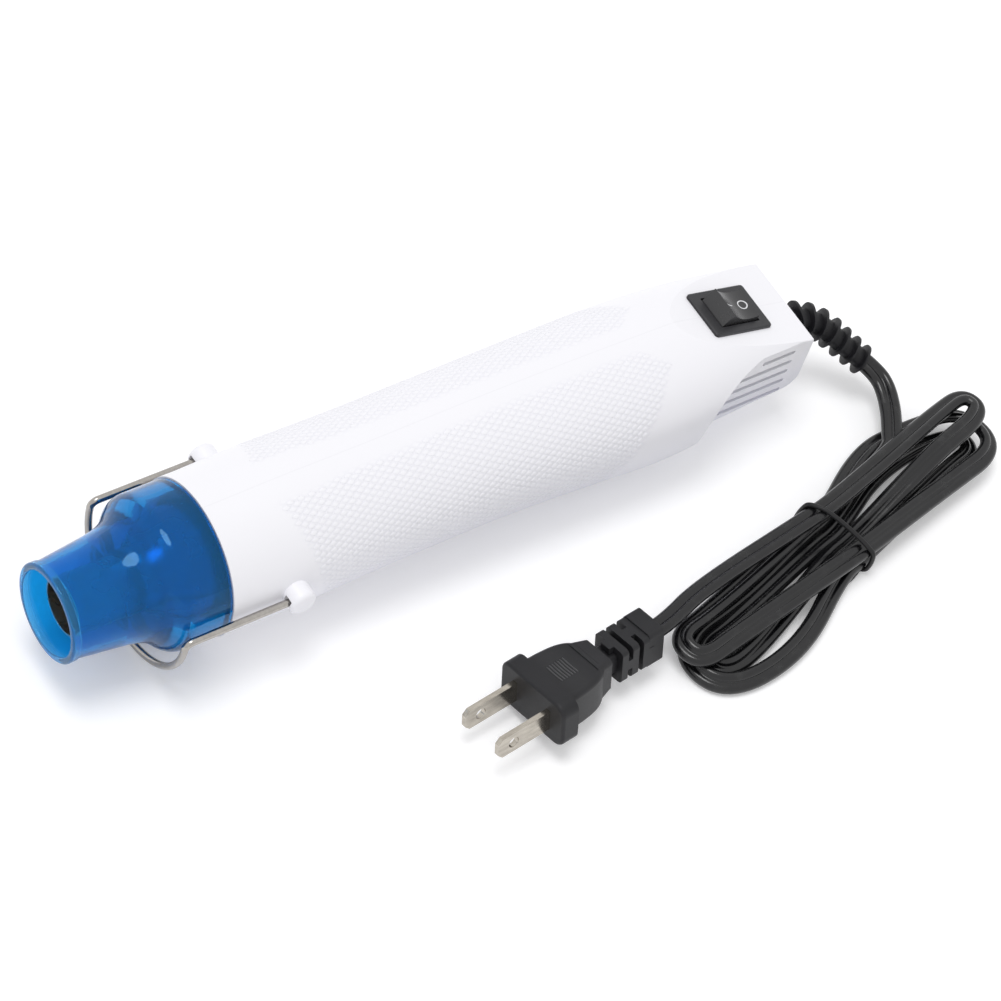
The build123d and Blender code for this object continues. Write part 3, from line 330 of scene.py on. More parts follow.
loop[:, 1] = np.maximum(loop[:, 1], TIE_ROUND + 0.01 * MM)
print("bundle under the tie:", np.round((bundle.max(0) - bundle.min(0)) * 1000, 1), "mm")

# %% Loop and cut end
TAIL_PLACES = [[103.4, -65.2, 1.4], [100.0, -67.4, 0.9], [96.5, -68.2, 0.7]]
across = loop[:, 0] / stretch
loop_line = np.stack(
    on_hank((TIE_ALONG + TIE_SLANT * across) / MM, across / MM, loop[:, 1] / MM), -1
)
flat_way = np.array([TIE_SLANT * turn_cos - turn_sin, TIE_SLANT * turn_sin + turn_cos, 0.0]) / stretch
loop_ways = unit(np.roll(loop_line, -1, axis=0) - np.roll(loop_line, 1, axis=0))
loop_side = facing[:, :1] * flat_way + facing[:, 1:] * np.array([0.0, 0.0, 1.0])
loop_side = unit(loop_side - loop_ways * (loop_side * loop_ways).sum(-1, keepdims=True))
round_turns = np.linspace(0, 2 * np.pi, 14, endpoint=False)
tie_profile = TIE_ROUND * np.stack([np.cos(round_turns), np.sin(round_turns)], -1)
loop_skin = carry(loop_line, loop_side, np.cross(loop_ways, loop_side), tie_profile)
tie = add_piece("tie_loop", loop_skin.reshape(-1, 3), grid_faces(len(loop_line), len(tie_profile), looped=True))
share = np.linspace(0, 1, 24)[:, None]
tail_from, tail_bend, tail_to = np.array(TAIL_PLACES) * MM
tail_line = (1 - share) ** 2 * tail_from + 2 * share * (1 - share) * tail_bend + share**2 * tail_to
tail_ways = unit(np.gradient(tail_line, axis=0))
tail_side = unit(np.stack([-tail_ways[:, 1], tail_ways[:, 0], np.zeros(len(share))], -1))
tail_skin = carry(tail_line, tail_side, np.cross(tail_ways, tail_side), tie_profile)
tie_tail = add_piece("tie_cut_end", tail_skin.reshape(-1, 3), capped(len(share), len(tie_profile)))
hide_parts("hank_tie")
print("tie loop:", round(float(np.linalg.norm(np.diff(loop_line, axis=0), axis=1).sum()) * 1000), "mm round")

# %% [markdown]
# ## Ribbed boot where the lead leaves
# The boot is soft black rubber: an oval core that tapers, with eight thin fins that let it bend but not
# kink, a flange each side of the end wall and a neck through it. It could be a stack of discs, but one
# skin looks moulded. The core, fins and flanges are all the same oval, so the whole boot is one profile
# carried along its bent line, with its width and height given as functions of the distance along it.

# %% Boot line
BOOT_BEND = 17.0 * MM
BOOT_INSIDE = 3.5 * MM
lean_over = math.acos(relief_way.x)
tangent_run = BOOT_BEND * math.tan(lean_over / 2)
straight_run = (relief_elbow - relief_root).length - tangent_run
curve_run = BOOT_BEND * lean_over
boot_length = straight_run + curve_run + (relief_tip - relief_elbow).length - tangent_run
aside = np.array(Vector((0, relief_way.y, relief_way.z)).normalized())
forth = np.array([1.0, 0.0, 0.0])
boot_run = np.linspace(-BOOT_INSIDE, boot_length, 520)
swung = np.clip((boot_run - straight_run) / BOOT_BEND, 0, lean_over)[:, None]
beyond = np.maximum(boot_run - straight_run - curve_run, 0)[:, None]
boot_ways = forth * np.cos(swung) + aside * np.sin(swung)
boot_line = (
    np.array(relief_root)
    + forth * (np.minimum(boot_run, straight_run)[:, None] + BOOT_BEND * np.sin(swung))
    + aside * BOOT_BEND * (1 - np.cos(swung))
    + boot_ways * beyond
)
print("boot:", round(boot_length * 1000, 1), "mm long, bent", round(math.degrees(lean_over)), "degrees")

# %% Boot skin
FIN_THICK = 0.9 * MM
FIN_SLOPE = 0.07 * MM
FLANGE_THICK = 1.5 * MM
NECK_END = -2.0 * MM
CORNER_POWER = 0.8
fin_places = np.linspace(2.6, 30.8, 8) * MM
to_fin = np.abs(boot_run[:, None] - fin_places).min(1)
fin = np.clip((FIN_THICK / 2 + FIN_SLOPE - to_fin) / (2 * FIN_SLOPE), 0, 1)
taper = np.clip(boot_run / boot_length, 0, 1)
core_half = np.stack([3.4 - 0.3 * taper, 2.35 - 0.4 * taper], -1) * MM
fin_half = np.stack([5.2 - 0.6 * taper, 4.2 - 0.7 * taper], -1) * MM
flange_half = np.array([5.3, 4.3]) * MM
neck_half = np.array([4.0, 3.0]) * MM
half = core_half + (fin_half - core_half) * fin[:, None]
in_flange = ((boot_run > 0) & (boot_run < FLANGE_THICK)) | (boot_run < NECK_END)
half = np.where(in_flange[:, None], flange_half, np.where((boot_run <= 0)[:, None], neck_half, half))
oval_turn = np.linspace(0, 2 * np.pi, 56, endpoint=False)
squared = np.stack([np.cos(oval_turn), np.sin(oval_turn)], -1)
squared = np.sign(squared) * np.abs(squared) ** CORNER_POWER
boot_side = unit(np.stack([-boot_ways[:, 1], boot_ways[:, 0], np.zeros(len(boot_ways))], -1))
boot_over = np.cross(boot_ways, boot_side)
reach_side = boot_side[:, None, :] * (half[:, :1] * squared[:, 0])[..., None]
reach_over = boot_over[:, None, :] * (half[:, 1:] * squared[:, 1])[..., None]
boot_skin = boot_line[:, None, :] + reach_side + reach_over
boot = add_piece("ribbed_boot", boot_skin.reshape(-1, 3), capped(len(boot_run), len(squared)))
boot.data.set_sharp_from_angle(angle=math.radians(35))
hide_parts("strain_relief")
print("boot skin:", boot_skin.shape[0], "stations,", len(fin_places), "fins")

# %% [markdown]
# ## Raised pads of the grip
# The hand's part of each half is covered with small raised lozenges, about three millimetres long. They
# could be a bump in the finish, but a bump is not in the mesh and vanishes at the outline. So each is a
# low pillow of ten faces. The barrel is unrolled to distance along it and angle round it, two families
# of lines cross there, and a pad sits in each mesh of the net. Rays shot at the shell say how far it
# stands from the axis at every place, so the pads follow its waist and belly.

# %% The field and the net
NET_LEAN = math.radians(30)
NET_PITCH = 1.6
DEGREE_ARC = 21.5 * math.pi / 180
BORDER = 0.8
FIRST_MESHES = np.arange(17, 93) + 0.5
SECOND_MESHES = np.arange(-59, 19) + 0.5
SCREW_HOLES = [(97.0, -14.0), (155.0, -15.6)]
HOLE_CLEAR = 4.0


def inside_field(along, angle):
    """Distance in mm from the nearest border: slanting front, two-sided rear, upper line and lower line."""
    front = along - (57.48 + 0.1131 * angle)
    rear = np.minimum(165.89 + 0.4647 * angle, 185.9 - 0.25 * angle) - along
    upper = (angle - np.interp(along, [69.0, 80.6, 127.0], [17.0, 14.0, 11.0])) * DEGREE_ARC
    return np.minimum(np.minimum(front, rear), np.minimum(upper, (164.0 - angle) * DEGREE_ARC))


def unrolled(first, second):
    """Along and angle of a place given by its two net measures: half their difference and half their sum."""
    along = (first - second) / (2 * math.sin(NET_LEAN))
    return along, (first + second) / (2 * math.cos(NET_LEAN)) / DEGREE_ARC


first, second = np.meshgrid(FIRST_MESHES, SECOND_MESHES, indexing="ij")
first, second = first.ravel() * NET_PITCH, second.ravel() * NET_PITCH
kept = inside_field(*unrolled(first, second)) > BORDER
first, second = first[kept], second[kept]
print("pads in the field of one half:", len(first))


# %% How far the shell stands from the axis
FIRST_ALONG, LAST_ALONG = 56.0, 184.0
FIRST_ANGLE, LAST_ANGLE, ANGLE_STEP = 8.0, 170.0, 2.0
FAR_OUT = 60 * MM


def shell_reach(half, hand):
    """Radius in mm at each whole millimetre along and each two degrees round, by rays at one half."""
    degrees = np.arange(FIRST_ANGLE, LAST_ANGLE, ANGLE_STEP)
    along, angle = np.meshgrid(np.arange(FIRST_ALONG, LAST_ALONG), np.radians(degrees), indexing="ij")
    ways = np.stack([0 * angle, hand * np.sin(angle), np.cos(angle)], -1).reshape(-1, 3)
    middle = np.stack([along - MOUTH, 0 * along, 0 * along + AXIS_HEIGHT], -1).reshape(-1, 3) * MM
    starts = middle + ways * FAR_OUT
    rays = zip(starts.tolist(), (-ways).tolist())
    hits = [nodes[half].ray_cast(start, way)[1] for start, way in rays]
    return (np.linalg.norm(np.array(hits) - middle, axis=1) / MM).reshape(along.shape)


def between(grid, row, column):
    """Values between a grid's points: the four neighbours, each weighed by how near it is."""
    a = np.clip(np.floor(row).astype(int), 0, grid.shape[0] - 2)
    b = np.clip(np.floor(column).astype(int), 0, grid.shape[1] - 2)
    f, g = row - a, column - b
    low = grid[a, b] * (1 - g) + grid[a, b + 1] * g
    return low * (1 - f) + (grid[a + 1, b] * (1 - g) + grid[a + 1, b + 1] * g) * f


print("the shell is read from", FIRST_ALONG, "to", LAST_ALONG - 1, "mm behind the mouth")

# %% Pads on both halves
pad_size = np.array([0.88, 0.68, 0.34])[None, :, None] * NET_PITCH / 2
pad_rise = np.array([-0.05, 0.07, 0.11])[None, :, None]
corner_first = np.array([1, 1, -1, -1])
corner_second = np.array([-1, 1, 1, -1])
corner = np.arange(4)
one_side = np.stack([corner, (corner + 1) % 4, (corner + 1) % 4 + 4, corner + 4], -1)
pad_sides = np.concatenate([one_side, one_side + 4, [[8, 9, 10, 11], [3, 2, 1, 0]]])
pads = {}
for half, hand in (("left", -1), ("right", 1)):
    reach = shell_reach("housing_" + half, hand)
    pad_first = first[:, None, None] + pad_size * corner_first
    pad_second = second[:, None, None] + pad_size * corner_second
    along, angle = unrolled(pad_first, pad_second)
    radius = between(reach, along - FIRST_ALONG, (angle - FIRST_ANGLE) / ANGLE_STEP) + pad_rise
    turn = np.radians(angle)
    drop = radius * np.cos(turn)
    points = np.stack([along - MOUTH, hand * radius * np.sin(turn), drop + AXIS_HEIGHT], -1)
    if half == "right":
        gaps = [np.hypot(along - x, drop - z).min((1, 2)) for x, z in SCREW_HOLES]
        points = points[np.min(gaps, axis=0) > HOLE_CLEAR]
    quads = (np.arange(len(points))[:, None, None] * pad_size.size * 4 + pad_sides).reshape(-1, 4)
    quads = quads if hand > 0 else quads[:, ::-1]
    pads[half] = add_piece("grip_pads_" + half, points.reshape(-1, 3) * MM, quads.tolist())
    print("pads on the", half, "half:", len(points), "radius", np.round([reach.min(), reach.max()], 2))

# %% [markdown]
# ## Ribs on the plug's grip
# Seven fine ribs cross each broad face of the plug, for the fingertips. They are thin bars with an oval
# section, bowed a little. Rays shot down at the plug place each point of a bar on the moulding.

# %% Plug ribs
RIB_HALF = 3.1
RIB_COUNT = 7
RIB_PITCH = 0.87
FIRST_RIB = 7.3
RIB_BOW = 0.014
plug_high = plug_turn @ Vector((0, 0, 1))
rib_wide = np.linspace(-RIB_HALF, RIB_HALF, 25)
rib_bar = np.stack([0.21 * np.cos(round_turns), 0.20 * np.sin(round_turns)], -1) * MM
rib_taper = np.sqrt(np.clip(1 - (np.abs(rib_wide) / 3.16) ** 10, 0.05, 1))
rib_points, rib_faces = [], []
for hand in (1, -1):
    for number in range(RIB_COUNT):
        from_face = FIRST_RIB + RIB_PITCH * number + RIB_BOW * rib_wide**2
        starts = [
            plug_face + plug_way * (b * MM) + plug_wide * (w * MM) + plug_high * (hand * 15 * MM)
            for b, w in zip(from_face, rib_wide)
        ]
        bar_line = np.array([nodes["plug_body"].ray_cast(start, plug_high * -hand)[1] for start in starts])
        bar_ways = unit(np.gradient(bar_line, axis=0))
        bar_over = unit(np.cross(bar_ways, np.array(plug_way)) * hand)
        bar_over *= np.sign((bar_over * np.array(plug_high) * hand).sum(-1, keepdims=True))
        bar = carry(bar_line, np.cross(bar_over, bar_ways), bar_over, rib_bar, rib_taper)
        offset = len(rib_points) * bar.shape[0] * bar.shape[1]
        rib_faces += [[offset + corner for corner in face] for face in capped(len(bar_line), len(rib_bar))]
        rib_points.append(bar.reshape(-1, 3))
plug_ribs = add_piece("plug_ribs", np.concatenate(rib_points), rib_faces)
print("plug ribs:", len(rib_points))

# %% [markdown]
# ## Marks on the rocker
# The rocker carries a ring at one end and a dash at the other, printed in pale paint. The rocker's face
# is dished, so a flat decal would cut into it. Both marks are thin ribbons laid on the dished face: the
# face's height at a distance s from its middle is a circle's, and the ribbon's points add a little lift.

# %% Ring and dash
ROCKER_ORIGIN = np.array([91.966, 0.0, 37.741]) * MM
ROCKER_SLOPE = math.radians(28.5)
ROCKER_LOW = 3.3 * MM
ROCKER_DISH = 10.47 * MM
rocker_long = np.array([math.cos(ROCKER_SLOPE), 0.0, -math.sin(ROCKER_SLOPE)])
rocker_up = np.array([math.sin(ROCKER_SLOPE), 0.0, math.cos(ROCKER_SLOPE)])
rocker_wide = np.array([0.0, 1.0, 0.0])
RING_MIDDLE, RING_RADIUS = 3.2 * MM, 1.32 * MM
DASH_MIDDLE, DASH_HALF = 2.3 * MM, 1.4 * MM


def laid(s, t, lift):
    """A point on the dished face: s along it, t across it, and lift over the height of the dish at s."""
    height = ROCKER_LOW + ROCKER_DISH - np.sqrt(ROCKER_DISH**2 - s**2) + lift
    return (
        ROCKER_ORIGIN
        + s[..., None] * rocker_long
        + t[..., None] * rocker_wide
        + height[..., None] * rocker_up
    )


ribbon = np.stack([np.cos(round_turns), np.sin(round_turns)], -1) * np.array([0.17, 0.05]) * MM
ring_turn = np.linspace(2 * np.pi, 0, 64, endpoint=False)[:, None]
ring_reach = RING_RADIUS + ribbon[None, :, 0]
ring_points = laid(
    RING_MIDDLE + ring_reach * np.cos(ring_turn),
    ring_reach * np.sin(ring_turn),
    ribbon[None, :, 1] + 0 * ring_turn,
)
ring_faces = grid_faces(len(ring_turn), len(ribbon), looped=True)
ring = add_piece("off_ring", ring_points.reshape(-1, 3), ring_faces, "rocker")
dash_run = np.linspace(-DASH_MIDDLE - DASH_HALF, -DASH_MIDDLE + DASH_HALF, 30)[:, None]
dash_ends = np.sqrt(np.clip(1 - (np.abs(dash_run + DASH_MIDDLE) / (1.41 * MM)) ** 12, 0.02, 1))
dash_points = laid(
    dash_run + 0 * ribbon[None, :, 0],
    ribbon[None, :, 0] * dash_ends,
    ribbon[None, :, 1] + 0 * dash_run,
)
dash = add_piece("on_dash", dash_points.reshape(-1, 3), capped(len(dash_run), len(ribbon)), "rocker")
print("marks: a ring", round(2 * float(ring_reach.max()) * 1000, 1), "mm across, and a dash")

# %% [markdown]
# ## Writing finishes as sums
# A finish is a small network of nodes. Wiring it by hand hides the idea, so one class wraps a node's
# output and lets ordinary arithmetic add the Math nodes. Colours go through Mix nodes, because a Math
# node would turn them grey. Patterns read object coordinates, so they stay where they are on a piece.


# %% A small class for node maths
class Wire:
    """A node's output that takes arithmetic: each operator adds one Math node."""

    def __init__(self, tree, socket):
        self.tree, self.socket = tree, socket

    def node(self, kind, settings=None, inputs=None, output=0):
        """Adds any node: its settings first, then values or links of its sockets; gives an output."""
        made = self.tree.nodes.new(kind)
        for name, value in (settings or {}).items():
            setattr(made, name, value)
        for name, value in (inputs or {}).items():
            if isinstance(value, Wire):
                self.tree.links.new(value.socket, made.inputs[name])
            else:
                made.inputs[name].default_value = value
        return Wire(self.tree, made.outputs[output])

    def math(self, operation, *values):
        """One Math node on this wire and the values."""
        return self.node("ShaderNodeMath", {"operation": operation}, dict(enumerate((self, *values))))

    def __add__(self, other):
        return self.math("ADD", other)

    def __radd__(self, other):
        return self.math("ADD", other)

    def __sub__(self, other):
        return self.math("SUBTRACT", other)

    def __rsub__(self, other):
        return self.node("ShaderNodeMath", {"operation": "SUBTRACT"}, {0: other, 1: self})

    def __mul__(self, other):
        return self.math("MULTIPLY", other)

    def __rmul__(self, other):
        return self.math("MULTIPLY", other)

    def __truediv__(self, other):
        return self.math("DIVIDE", other)

    def clamp(self):
        """Kept between 0 and 1."""
        return self.node("ShaderNodeClamp", None, {"Value": self})

    def step(self, low, high):
        """0 below low, 1 above high, smooth between."""
        return self.node(
            "ShaderNodeMapRange",
            {"interpolation_type": "SMOOTHSTEP"},
            {"Value": self, "From Min": low, "From Max": high, "To Min": 0.0, "To Max": 1.0},
        )

    def lines(self, pitch):
        """Distance from the nearest of many lines a pitch apart: 0 on a line, 1 midway between two."""
        return 1 - ((self / pitch).math("FRACT") * 2 - 1).math("ABSOLUTE")

    def mix(self, first, second):
        """A colour between two, by this wire. Each is a wire or a tuple of red, green and blue."""
        first, second = ((*end, 1.0) if isinstance(end, tuple) else end for end in (first, second))
        return self.node("ShaderNodeMix", {"data_type": "RGBA"}, {"Factor": self, 6: first, 7: second}, output=2)

    def ramp(self, *stops):
        """A colour read from stops, each a place between 0 and 1 and a colour, at this wire's value."""
        made = self.tree.nodes.new("ShaderNodeValToRGB")
        elements = made.color_ramp.elements
        while len(elements) < len(stops):
            elements.new(0.5)
        for stop, (place, shade) in zip(elements, stops):
            stop.position, stop.color = place, (*shade, 1.0)
        self.clamp().to(made.inputs["Fac"])
        return Wire(self.tree, made.outputs[0])

    def noise(self, scale, detail=3.0, roughness=0.5):
        """Noise read at this wire's coordinates."""
        inputs = {"Vector": self, "Scale": scale, "Detail": detail, "Roughness": roughness}
        return self.node("ShaderNodeTexNoise", None, inputs)

    def cells(self, scale):
        """Voronoi cells read at this wire's coordinates: the distance from the nearest cell's middle."""
        return self.node("ShaderNodeTexVoronoi", {"feature": "F1"}, {"Vector": self, "Scale": scale})

    def placed(self, location=(0, 0, 0), rotation=(0, 0, 0), scale=(1, 1, 1), kind="POINT"):
        """These coordinates moved, turned and scaled by a Mapping node."""
        inputs = {"Vector": self, "Location": location, "Rotation": rotation, "Scale": scale}
        return self.node("ShaderNodeMapping", {"vector_type": kind}, inputs)

    def parts(self):
        """The three parts of a vector as wires."""
        made = self.tree.nodes.new("ShaderNodeSeparateXYZ")
        self.tree.links.new(self.socket, made.inputs[0])
        return [Wire(self.tree, output) for output in made.outputs]

    def in_mm(self):
        """The three parts of a place in millimetres."""
        return [part * 1000 for part in self.parts()]

    def on_barrel(self):
        """How far a place is behind the tool's mouth and how far from its axis, in millimetres."""
        x, y, z = self.in_mm()
        high = z - AXIS_HEIGHT
        return x + MOUTH, (y * y + high * high).math("SQRT")

    def to(self, socket):
        """Links this wire to a socket."""
        self.tree.links.new(self.socket, socket)


def finish_of(name, **constants):
    """A material whose constants sit on its shader's own sockets; gives material, shader and coordinates."""
    material = bpy.data.materials.new(name)
    material.use_nodes = True
    tree = material.node_tree
    shader = tree.nodes["Principled BSDF"]
    for socket, value in constants.items():
        shader.inputs[socket.replace("_", " ")].default_value = value
    where = tree.nodes.new("ShaderNodeTexCoord")
    return material, shader, Wire(tree, where.outputs["Object"])


def bumped(height, shader, distance):
    """Height between 0 and 1, times a distance in metres, as a Bump node that feeds the shader's Normal."""
    inputs = {"Strength": 1.0, "Distance": distance, "Height": height}
    height.node("ShaderNodeBump", None, inputs).to(shader.inputs["Normal"])


def wear(material, *members):
    """Puts a finish on CAD nodes, by name, or on pieces made here."""
    for member in members:
        slots = (nodes[member] if isinstance(member, str) else member).data.materials
        slots.clear()
        slots.append(material)


def seen_rays(tree):
    """1 for rays of the camera, through clear plastic and off glossy faces, 0 for light that is scattered."""
    rays = tree.nodes.new("ShaderNodeLightPath")
    seen = Wire(tree, rays.outputs["Is Camera Ray"])
    for kind in ("Is Transmission Ray", "Is Glossy Ray"):
        seen = seen.math("MAXIMUM", Wire(tree, rays.outputs[kind]))
    return seen


print("Wire, finish_of, bumped, wear and seen_rays are ready")

# %% [markdown]
# ## Light and floor
# The tool was photographed on white under a big soft light. One broad sun stands for the softbox and
# the world fills the shadows, both at a plain level, so a colour renders about as it is written. The
# floor is pale paper. It gives a little light of its own to the rays that are seen, and keeps the
# soft shadow.

# %% Sun and world
WORLD_FILL = 0.74
bpy.context.scene.view_settings.view_transform = "Standard"
sun_data = bpy.data.lights.new("softbox", "SUN")
sun_data.energy = 1.05
sun_data.angle = math.radians(26)
sun = bpy.data.objects.new("softbox", sun_data)
sun.rotation_mode = "QUATERNION"
sun.rotation_quaternion = Vector((-0.15, 0.12, 1.0)).to_track_quat("Z", "Y")
bpy.context.scene.collection.objects.link(sun)
world = bpy.data.worlds.new("studio")
bpy.context.scene.world = world
world.use_nodes = True
backdrop = world.node_tree.nodes["Background"]
backdrop.inputs["Color"].default_value = (1, 1, 1, 1)
(seen_rays(world.node_tree) * (1 - WORLD_FILL) + WORLD_FILL).to(backdrop.inputs["Strength"])
print("sun", round(sun_data.energy, 2), "and world", WORLD_FILL)

# %% Floor
FLOOR_LOW = -0.2 * MM
FLOOR_HALF = 4.0
FLOOR_LIFT = 0.2
floor_corners = np.array([[-1, -1, 0], [1, -1, 0], [1, 1, 0], [-1, 1, 0]]) * FLOOR_HALF
floor = add_piece("floor", floor_corners + [0, 0, FLOOR_LOW], [[0, 1, 2, 3]])
floor_finish, floor_shader, spot = finish_of("white_paper", Roughness=1.0, Specular_IOR_Level=0.0)
spot.noise(9.0, 5.0).mix((0.93, 0.93, 0.94), (0.91, 0.91, 0.92)).to(floor_shader.inputs["Base Color"])
floor_shader.inputs["Emission Color"].default_value = (1, 1, 1, 1)
(seen_rays(floor_finish.node_tree) * FLOOR_LIFT).to(floor_shader.inputs["Emission Strength"])
wear(floor_finish, floor)
print("floor:", 2 * FLOOR_HALF, "metres wide")

# %% [markdown]
# ## The shell
# The barrel is two white mouldings. A real mould gives the smooth parts a satin skin and the hand's
# part a duller one. The pads are in the mesh already, so the finish only follows the same net: it is
# painted a little darker between the pads, a painted shade in the grooves, and rougher over the whole grip.
# It also has the faint line where the two halves meet, and a painted shade on the barrel's lower side.

# %% Shell finish
shell, shader, spot = finish_of("satin_shell", Specular_IOR_Level=0.45)
x, y, z = spot.in_mm()
along = x + MOUTH
out = y.math("ABSOLUTE")
angle = out.math("ARCTAN2", z - AXIS_HEIGHT) * (180 / math.pi)
arc_share = angle * (DEGREE_ARC * math.cos(NET_LEAN))
along_share = along * math.sin(NET_LEAN)
first_lines = (arc_share + along_share).lines(NET_PITCH)
second_lines = (arc_share - along_share).lines(NET_PITCH)
lozenges = first_lines.step(0.16, 0.56) * second_lines.step(0.16, 0.56)
front_edge = (along - (angle * 0.1131 + 57.48)).step(-0.9, 0.9)
rear_limit = (angle * 0.4647 + 165.89).math("MINIMUM", 185.9 - angle * 0.25)
rear_edge = (rear_limit - along).step(-0.9, 0.9)
upper_limit = 17 - along.step(69.0, 80.6) * 3 - along.step(80.6, 127.0) * 3
upper_edge = (angle - upper_limit).step(-2.5, 2.5)
lower_edge = (164 - angle).step(-1.0, 1.0)
field = front_edge * rear_edge * upper_edge * lower_edge
seam = 1 - out.step(0.05, 0.17)
grain = spot.noise(5200.0, 3.0, 0.6)
drift = spot.noise(45.0, 2.0)
# Painted shade: the barrel's lower side is painted darker and bluer than its top.
shade = angle.step(60.0, 150.0).mix((0.90, 0.895, 0.935), (0.85, 0.85, 0.95))
shade = (drift * 0.25).mix(shade, (0.87, 0.87, 0.89))
# Painted shade: the grooves between the pads are painted darker.
shade = ((1 - lozenges) * field * 0.14).mix(shade, (0.66, 0.66, 0.76))
shade = (seam * 0.10).mix(shade, (0.55, 0.55, 0.60))
shade.to(shader.inputs["Base Color"])
(field * 0.12 + 0.34 + (grain - 0.5) * 0.08).to(shader.inputs["Roughness"])
bumped(grain * 0.12 - seam * 0.2, shader, 0.00009)
wear(shell, "housing_left", "housing_right", pads["left"], pads["right"])
print("shell: pads", round(NET_PITCH / math.sin(NET_LEAN), 1), "mm long")

# %% [markdown]
# ## The clear guard
# The guard is clear blue plastic about two millimetres thick. Glass-like transmission with a low
# roughness shows the steel tube through it, and a share of plain colour keeps the blue strong, as dye
# does in the real moulding. Its cut edge and its front lip look paler, because light leaves there.

# %% Guard finish
guard, shader, spot = finish_of(
    "clear_blue",
    Transmission_Weight=0.82,
    IOR=1.49,
    Specular_IOR_Level=0.12,
    Specular_Tint=(0.35, 0.72, 1.0, 1.0),
)
along, radius = spot.on_barrel()
lip = (1 - along.step(0.6, 3.2)) * radius.step(10.9, 11.6)
flow = spot.placed(scale=(160.0, 420.0, 420.0)).noise(1.0, 2.0)
# Painted light: the inside of the mouth is painted a brighter blue, as light bouncing in the bore would make it.
bore_painted_light = (1 - (radius - along * 0.1).step(11.9, 12.4)) * (1 - along.step(14.0, 18.0))
blue = flow.mix((0.004, 0.24, 0.66), (0.008, 0.31, 0.76))
blue = (along.step(8.0, 34.0) * 0.5).mix(blue, (0.004, 0.21, 0.56))
blue = bore_painted_light.mix(blue, (0.016, 0.44, 0.95))
(lip * 0.7).mix(blue, (0.14, 0.52, 0.90)).to(shader.inputs["Base Color"])
(spot.noise(700.0) * 0.05 + 0.03).to(shader.inputs["Roughness"])
bumped(flow, shader, 0.00006)
wear(guard, "nozzle_guard")
print("guard: clear blue, seen through")

# %% [markdown]
# ## Metals
# Bright wire, drawn tube, turned pins and pressed brass differ in the way their fine marks run. Noise
# stretched many times along one way reads as such marks. One function makes them all: its stretch says
# which way the marks run, and a slow noise varies the gloss, as handling does.


# %% Metal finishes
def metal(name, shade, second, rough, stretch, depth, node):
    """Colour between two by fine lines, roughness by lines and slow spots, height by lines; worn by a node."""
    material, shader, spot = finish_of(name, Metallic=1.0)
    marks = spot.placed(scale=stretch).noise(1.0, 4.0, 0.6)
    slow = spot.noise(140.0, 2.0)
    marks.mix(shade, second).to(shader.inputs["Base Color"])
    ((marks - 0.5) * 0.22 + (slow - 0.5) * 0.12 + rough).clamp().to(shader.inputs["Roughness"])
    bumped(marks, shader, depth)
    wear(material, node)


metal("bright_wire", (0.50, 0.48, 0.45), (0.30, 0.28, 0.26), 0.17, (900, 900, 300), 6e-6, "stand_bail")
metal("ground_shaft", (0.66, 0.66, 0.67), (0.50, 0.50, 0.52), 0.18, (6000, 300, 300), 3e-6, "motor_shaft")
metal("plated_can", (0.66, 0.66, 0.62), (0.52, 0.52, 0.50), 0.30, (4500, 260, 260), 5e-6, "motor")
metal("nickel_blade", (0.66, 0.62, 0.55), (0.27, 0.24, 0.20), 0.18, (220, 900, 900), 8e-6, "plug_blades")
metal("pressed_brass", (0.72, 0.55, 0.25), (0.50, 0.36, 0.15), 0.30, (1500, 1500, 240), 6e-6, "switch_terminals")
metal("dark_screw", (0.20, 0.20, 0.21), (0.10, 0.10, 0.11), 0.34, (2500, 2500, 2500), 8e-6, "housing_screws")
metal("resistance_wire", (0.40, 0.34, 0.28), (0.20, 0.17, 0.16), 0.42, (700, 3000, 3000), 8e-6, "heating_coil")
print("metals: seven finishes")

# %% [markdown]
# ## The hot air tube
# The steel nozzle gets hot, so near its mouth it takes straw and blue temper tints. Its inside, from a
# little way in, is painted almost black, a painted shade, and is rougher there. A ramp along the tube
# gives the tints, and lines round it are the marks of spinning.

# %% Tube finish
TINT_RUN = 60
tube, shader, spot = finish_of("tempered_tube", Metallic=1.0)
along, radius = spot.on_barrel()
wander = spot.noise(120.0, 3.0)
heat = ((along + wander * 6) / TINT_RUN).ramp(
    (0.08, (0.58, 0.57, 0.55)),
    (0.20, (0.58, 0.52, 0.42)),
    (0.34, (0.62, 0.58, 0.50)),
    (0.55, (0.66, 0.66, 0.66)),
)
# Painted shade: past the first few millimetres, the tube's inside is painted almost black.
painted_inner_shade = (1 - radius.step(7.2, 7.7)) * along.step(8.0, 13.0)
(painted_inner_shade * 0.95).mix(heat, (0.02, 0.022, 0.02)).to(shader.inputs["Base Color"])
spun = along.lines(0.35)
(wander * 0.14 + 0.20 + painted_inner_shade * 0.3).to(shader.inputs["Roughness"])
bumped(spun * 0.5 + spot.noise(3000.0), shader, 0.000006)
wear(tube, "hot_air_tube")
print("tube: tints over the first 33 mm")

# %% [markdown]
# ## Black and pale mouldings
# Switch, rocker, plug, relief, fan and brackets are all moulded plastic. They differ in colour, gloss
# and the fineness of the mould's spark texture. One function takes those three and adds the slow
# drift of colour and the polished spots that handling leaves.


# %% Plastic finishes
def moulded(name, shade, second, rough, grain_scale, depth, *members, play=0.18, **constants):
    """Colour between two by slow noise, roughness by fine noise round a level, height by it; worn by members."""
    material, shader, spot = finish_of(name, **constants)
    grain = spot.noise(grain_scale, 4.0, 0.6)
    slow = spot.noise(90.0, 2.0)
    slow.mix(shade, second).to(shader.inputs["Base Color"])
    ((grain - 0.5) * play + (slow - 0.5) * 0.10 + rough).clamp().to(shader.inputs["Roughness"])
    bumped(grain, shader, depth)
    wear(material, *members)


